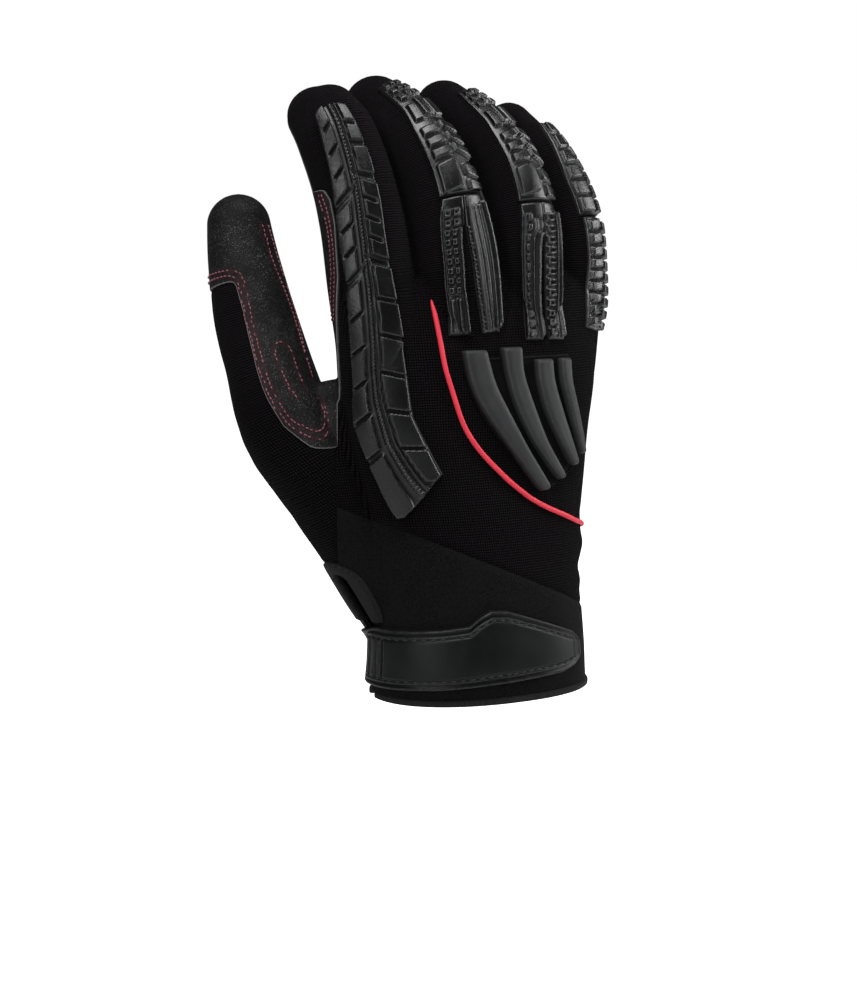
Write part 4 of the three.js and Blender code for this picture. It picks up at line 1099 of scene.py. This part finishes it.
# Wrist strap and the moulded panel on it
strap = {"step": 0.5, "edge": 2.2, "height": 2.0, "panelHeight": 3.4, "panelStart": -104.0, "panelEnd": 34.0,
         "grooves": [-96.5, -88.6, -81.6], "grooveWidth": 0.8, "grooveDepth": 1.8, "grooveFade": (1.6, 2.2),
         "stitchInset": 1.3, "stitchEnds": (2.2, 3.0), "stitchStep": 0.8, "channelWidth": 0.5, "channelDepth": 0.55,
         "rollRise": 0.45, "rollWidth": 0.6, "rollPlace": 0.9, "sink": 0.4, "panelSink": -1.0, "rows": 49,
         "least": 0.6, "perDegree": 0.66}  # least height, and millimetres round the wrist for a degree of turn
strapRows = table("turn low high",
    [-186, -9.5, 12], [-160, -9.5, 12], [-130, -9.5, 12], [-104, -9.5, 12.2], [-86, -9.2, 12.4], [-72, -8.8, 12.6],
    [-56, -8.2, 13], [-42, -7.8, 13.5], [-28, -7, 14.5], [-22, -6.7, 17.5], [-16, -6.4, 19.5], [-7, -6.2, 19],
    [8, -5.6, 15.5], [24, -5, 11.5], [34, -3.4, 9], [38.5, -1.6, 6.6], [41, 0.4, 4.4])


def bandGrid(first, last, inset):
    # grid round the wrist between the strap's outline drawn in by inset; columns run with the turn
    turn = np.linspace(first, last, int((last - first) * strap["perDegree"] / strap["step"]) + 1)
    low, high = read(strapRows, turn, "low", "high")
    low, high = low + inset, np.maximum(high - inset, low + inset + strap["least"])
    z = low + (high - low) * np.linspace(0, 1, strap["rows"])[:, None]
    turns = np.broadcast_to(turn, z.shape)
    base = roundHand(turns.ravel(), z.ravel()).reshape(z.shape + (3,))
    inside = np.minimum(z - low, high - z)
    return laid(base), turns, inside, np.minimum(inside, np.minimum(turns - first, last - turns) * strap["perDegree"])


def strapSlab():
    # flat, with a low roll along its border
    base, _, _, border = bandGrid(strapRows["turn"][0], strapRows["turn"][-1], 0)
    roll = strap["rollRise"] * mound(border, strap["rollWidth"], strap["rollPlace"])
    return reliefSlab(base, rimmed(strap["height"] + roll, border), strap["sink"])


def panelSlab():
    # grooves across one end, and a channel for the stitches
    base, turn, inside, border = bandGrid(strap["panelStart"], strap["panelEnd"], strap["edge"])
    groove = sum(mound((turn - place) * strap["perDegree"], strap["grooveWidth"], power=4)
                 for place in strap["grooves"]) * smoothstep(*strap["grooveFade"], inside)
    channel = mound(border, strap["channelWidth"], strap["stitchInset"])
    height = strap["panelHeight"] - strap["grooveDepth"] * groove - strap["channelDepth"] * channel
    return reliefSlab(base, rimmed(height, border), strap["panelSink"])


def reliefs():
    # every guard, then the strap and its panel
    reliefPiece("index_guard", [indexSlab()], "indexGuard", "guard")
    for name, sheets in fingerGuards.items():
        finger = name.split("_")[0]
        slabs = [cellSlab(finger, table(edgeColumns, *edges), cells) for edges, cells in sheets]
        reliefPiece(name, slabs, "guard", "guard")
    reliefPiece("knuckle_guard", [ribSlab(rows) for rows in ribTables], "knuckle", "guard")
    # a dark sheet under the knuckle ribs, painted shade between them
    reliefPiece("knuckle_sheet", [sheetSlab()], "sheet", "guard", new=True)
    reliefPiece("wrist_strap", [strapSlab()], "strap", "strap")
    reliefPiece("strap_panel", [panelSlab()], "strap", "strap")


# Bound lower edge, tape round the slit, and red piping
hem = {"section": -11.0, "middle": -12.5, "halfHeight": 1.3, "out": 0.75, "inside": 1.9, "sides": 18, "square": 0.7,
       "slitTurns": 8.0, "steps": 260}
tape = {"width": 4.7, "height": 1.0, "foot": 13.5, "step": 0.4, "groove": 0.95, "grooveWidth": 0.3,
        "grooveDepth": 0.6, "overlap": 0.2, "sink": 0.9, "columns": 19, "blur": 3}
piping = {"radius": 0.9, "rise": 0.6, "sides": 14, "step": 0.7, "taper": 9, "normalPasses": 12, "passes": 6}
pipingRows = table("turn z",
    [-26, 127], [-25, 119.5], [-24, 111], [-23, 102.5], [-20, 92.5], [-16, 83], [-10, 75], [-3, 68.5], [6, 61.5],
    [18, 55], [33, 50], [50, 46], [75, 43], [94, 41.5])


def cord(name, rings, look, slotName):
    # a tube whose faces are turned out by the sign of its volume
    made, tris = capped(rings)
    a, b, c = (made - made.mean(0))[tris].transpose(1, 0, 2)
    finished(name, made, tris if (a * np.cross(b, c)).sum() > 0 else tris[:, ::-1], look, slotName)


def hemPiece():
    # a rounded section carried round the lower edge from one side of the slit to the other
    ends = seams["slitTurn"] + hem["slitTurns"], seams["slitTurn"] + 360 - hem["slitTurns"]
    x, y = handSection(handAt(hem["section"]), np.radians(np.linspace(*ends, hem["steps"])))
    edge = np.stack([x, y, np.full(len(x), hem["middle"])], 1)
    out = np.cross(unit(np.gradient(edge, axis=0)), [0, 0, 1.0])
    a = circle(hem["sides"])
    across = (hem["out"] - hem["inside"]) / 2 + bent(np.cos(a), hem["square"]) * (hem["out"] + hem["inside"]) / 2
    rise = bent(np.sin(a), hem["square"]) * hem["halfHeight"]
    cord("hem_binding", edge[:, None] + out[:, None] * across[:, None] + np.array([0, 0, 1.0]) * rise[:, None],
         "tape", "tape")


def roundCloth(turn, z):
    # as roundHand but out to the cloth itself, by taking the nearest place's distance again and again
    start, out = middleAndOut(turn, z)
    reach = handExit(start, out) + 6
    for _ in range(8):
        reach = np.linalg.norm((snapped(start + out * reach[:, None]) - start)[:, :2], axis=1)
    return start + out * reach[:, None]


def slitTape():
    # up one side of the slit, over its arch and down the other, at a growing distance from the slit
    leg = seams["slitTop"] - tape["foot"]
    middle = seams["slitHalf"] + tape["width"] / 2
    length = 2 * leg + np.pi * middle
    s = np.linspace(0, length, int(length / tape["step"]) + 1)[None]
    v = np.linspace(0, 1, tape["columns"])[:, None]
    r = seams["slitHalf"] - tape["overlap"] + v * tape["width"]
    angle = np.clip((s - leg) / middle, 0, np.pi)
    across = -r * np.cos(angle)
    z = seams["slitTop"] + r * np.sin(angle) - np.maximum(leg - s, 0) - np.maximum(s - length + leg, 0)
    turn = seams["slitTurn"] + across * seams["turnPerMillimetre"]
    base = blurred(roundCloth(turn.ravel(), z.ravel()).reshape(z.shape + (3,)), tape["blur"])
    inside = np.minimum(v, 1 - v) * tape["width"] + 0 * s
    groove = mound(inside, tape["grooveWidth"], tape["groove"]) * (v > 0.5)
    height = tape["height"] - tape["grooveDepth"] * groove
    reliefPiece("slit_binding", [reliefSlab(base, rimmed(height, inside), tape["sink"])], "tape", "tape")
    seam = base[round((1 - tape["groove"] / tape["width"]) * (tape["columns"] - 1))]
    threads("slit_stitches", [evenly(seam)], "slit", "blackThread", "tape")


def redPiping():
    # a round cord laid on the cloth, thin at its upper end
    rows = spline(pipingRows, 400)
    path = evenly(snapped(roundHand(rows["turn"], rows["z"])), piping["step"])
    normal = unit(blurred(normalsAt(path)[:, None], piping["normalPasses"])[:, 0])
    path = blurred(path[:, None], piping["passes"])[:, 0] + normal * piping["rise"]
    way = unit(np.gradient(path, axis=0))
    side = unit(np.cross(way, normal))
    radius = piping["radius"] * np.sqrt(np.clip(np.arange(len(path)) / piping["taper"], 0.06, 1))
    a = circle(piping["sides"])[:, None]
    ring = side[:, None] * np.cos(a) + np.cross(side, way)[:, None] * np.sin(a)
    cord("red_piping", path[:, None] + ring * radius[:, None, None], "piping", "piping")


def threads(name, paths, kind, look, slotName):
    # one thread per pitch: a round bar whose ends draw in, bowed so that both dive into the cloth
    height, pitch, length, radius = stitch[kind]
    a, t = circle(stitch["sides"])[:, None], np.linspace(-1, 1, stitch["rings"])[:, None, None]
    bars = []
    for path in paths:
        even = lengths(path)
        at = np.arange(pitch / 2, even[-1] - pitch / 3, pitch)
        find = lambda values: between(at, even, values)[:, None, None]
        middle, ahead, up = find(path), unit(find(unit(np.gradient(path, axis=0)))), unit(find(normalsAt(path)))
        ring = np.cross(ahead, up) * np.cos(a) + up * np.sin(a)
        bars += list(middle + ahead * (t * length / 2) + up * (height - 0.9 * radius * t ** 2)
                     + ring * (radius * np.sqrt(1 - 0.8 * t ** 2)))
    finished(name, *joined([capped(rings) for rings in bars]), look, slotName, new=True)


def strapOutline():
    # along the panel's lower edge and back along its upper one, both drawn in to the channel
    first, last = strap["stitchEnds"]
    turn = np.arange(strap["panelStart"] + first, strap["panelEnd"] - last, strap["stitchStep"])
    inset = strap["edge"] + strap["stitchInset"]
    low, high = read(strapRows, turn, "low", "high")
    return evenly(snapped(np.concatenate([roundHand(turn, low + inset), roundHand(turn, high - inset)[::-1]])))


# Studio: pale floor, soft lights, camera
studio = {"azimuth": -30.0, "elevation": 8.0, "distance": 850.0, "aim": (-11.4, 15.3, 53.5), "lens": 85.0,
          "sensor": 36.0, "clip": 20.0, "floor": -97.0, "floorSize": 4000.0, "sky": (0.12, 0.12, 0.123)}
lights = {  # place, what it points at, size and watts
    "left": ((-900, -700, 500), (0, 0, 90), (170, 560), 5.7),
    "right": ((900, -300, 400), (0, 0, 100), (300, 700), 7),
    "top": ((-100, -300, 1100), (0, 0, 90), (700, 450), 11.2)}


def aimed(data, place, target):
    # a camera or light as an object of the scene, pointed at its target
    obj = bpy.data.objects.new(data.name, data)
    bpy.context.scene.collection.objects.link(obj)
    obj.location = Vector(place) * mm
    obj.rotation_euler = (Vector(target) - Vector(place)).to_track_quat("-Z", "Y").to_euler()
    return obj


def whiteSeen(tree, otherwise, socket):
    # white where the camera looks straight at it
    n = nodeMaker(tree)
    tree.links.new(n.colour(n.add("LightPath")["Is Camera Ray"], otherwise, (1.0, 1.0, 1.0)), socket)


def floorLook(n):
    smears = n.use("dust")["Smears"]
    return (n.colour(smears, (0.9, 0.9, 0.9), (0.88, 0.88, 0.88)), n.mix(smears, 0.8, 0.9),
            n.use("grain", Scale=0.5)["Fine"], 0.02)


def studioScene():
    # camera, lights, floor and world
    scene = bpy.context.scene
    azimuth, elevation = np.radians([studio["azimuth"], studio["elevation"]])
    back = np.array([np.sin(azimuth) * np.cos(elevation), -np.cos(azimuth) * np.cos(elevation), np.sin(elevation)])
    camera = bpy.data.cameras.new("camera")
    camera.lens, camera.sensor_fit, camera.sensor_height = studio["lens"], "VERTICAL", studio["sensor"]
    camera.clip_end = studio["clip"]
    scene.camera = aimed(camera, tuple(np.array(studio["aim"]) + back * studio["distance"]), studio["aim"])
    for name, (place, target, size, watts) in lights.items():
        lamp = bpy.data.lights.new(name, "AREA")
        lamp.shape, lamp.size, lamp.size_y, lamp.energy = "RECTANGLE", size[0] * mm, size[1] * mm, watts
        aimed(lamp, place, target)
    square = [[x, y, studio["floor"] / studio["floorSize"]] for x, y in ((-1, -1), (1, -1), (1, 1), (-1, 1))]
    floor = meshObject("floor", np.array(square) * studio["floorSize"], [[0, 1, 2, 3]])
    paleFloor = finish("pale floor", floorLook, emission=1.0)
    whiteSeen(paleFloor.node_tree, (0.0, 0.0, 0.0),
              paleFloor.node_tree.nodes["Principled BSDF"].inputs["Emission Color"])
    floor.data.materials.append(paleFloor)
    world = bpy.data.worlds.new("studio")
    world.use_nodes = True
    whiteSeen(world.node_tree, studio["sky"], world.node_tree.nodes["Background"].inputs["Color"])
    scene.world = world
    scene.view_settings.view_transform = "Standard"


studioScene()
panels()
reliefs()
hemPiece()
slitTape()
redPiping()
for digit, paths in stitchPaths.items():
    threads(digit + "_stitches", paths, "red", "redThread", "piping")
threads("strap_stitches", [strapOutline()], "strap", "blackThread", "strap")
bpy.data.objects.remove(clothForm)
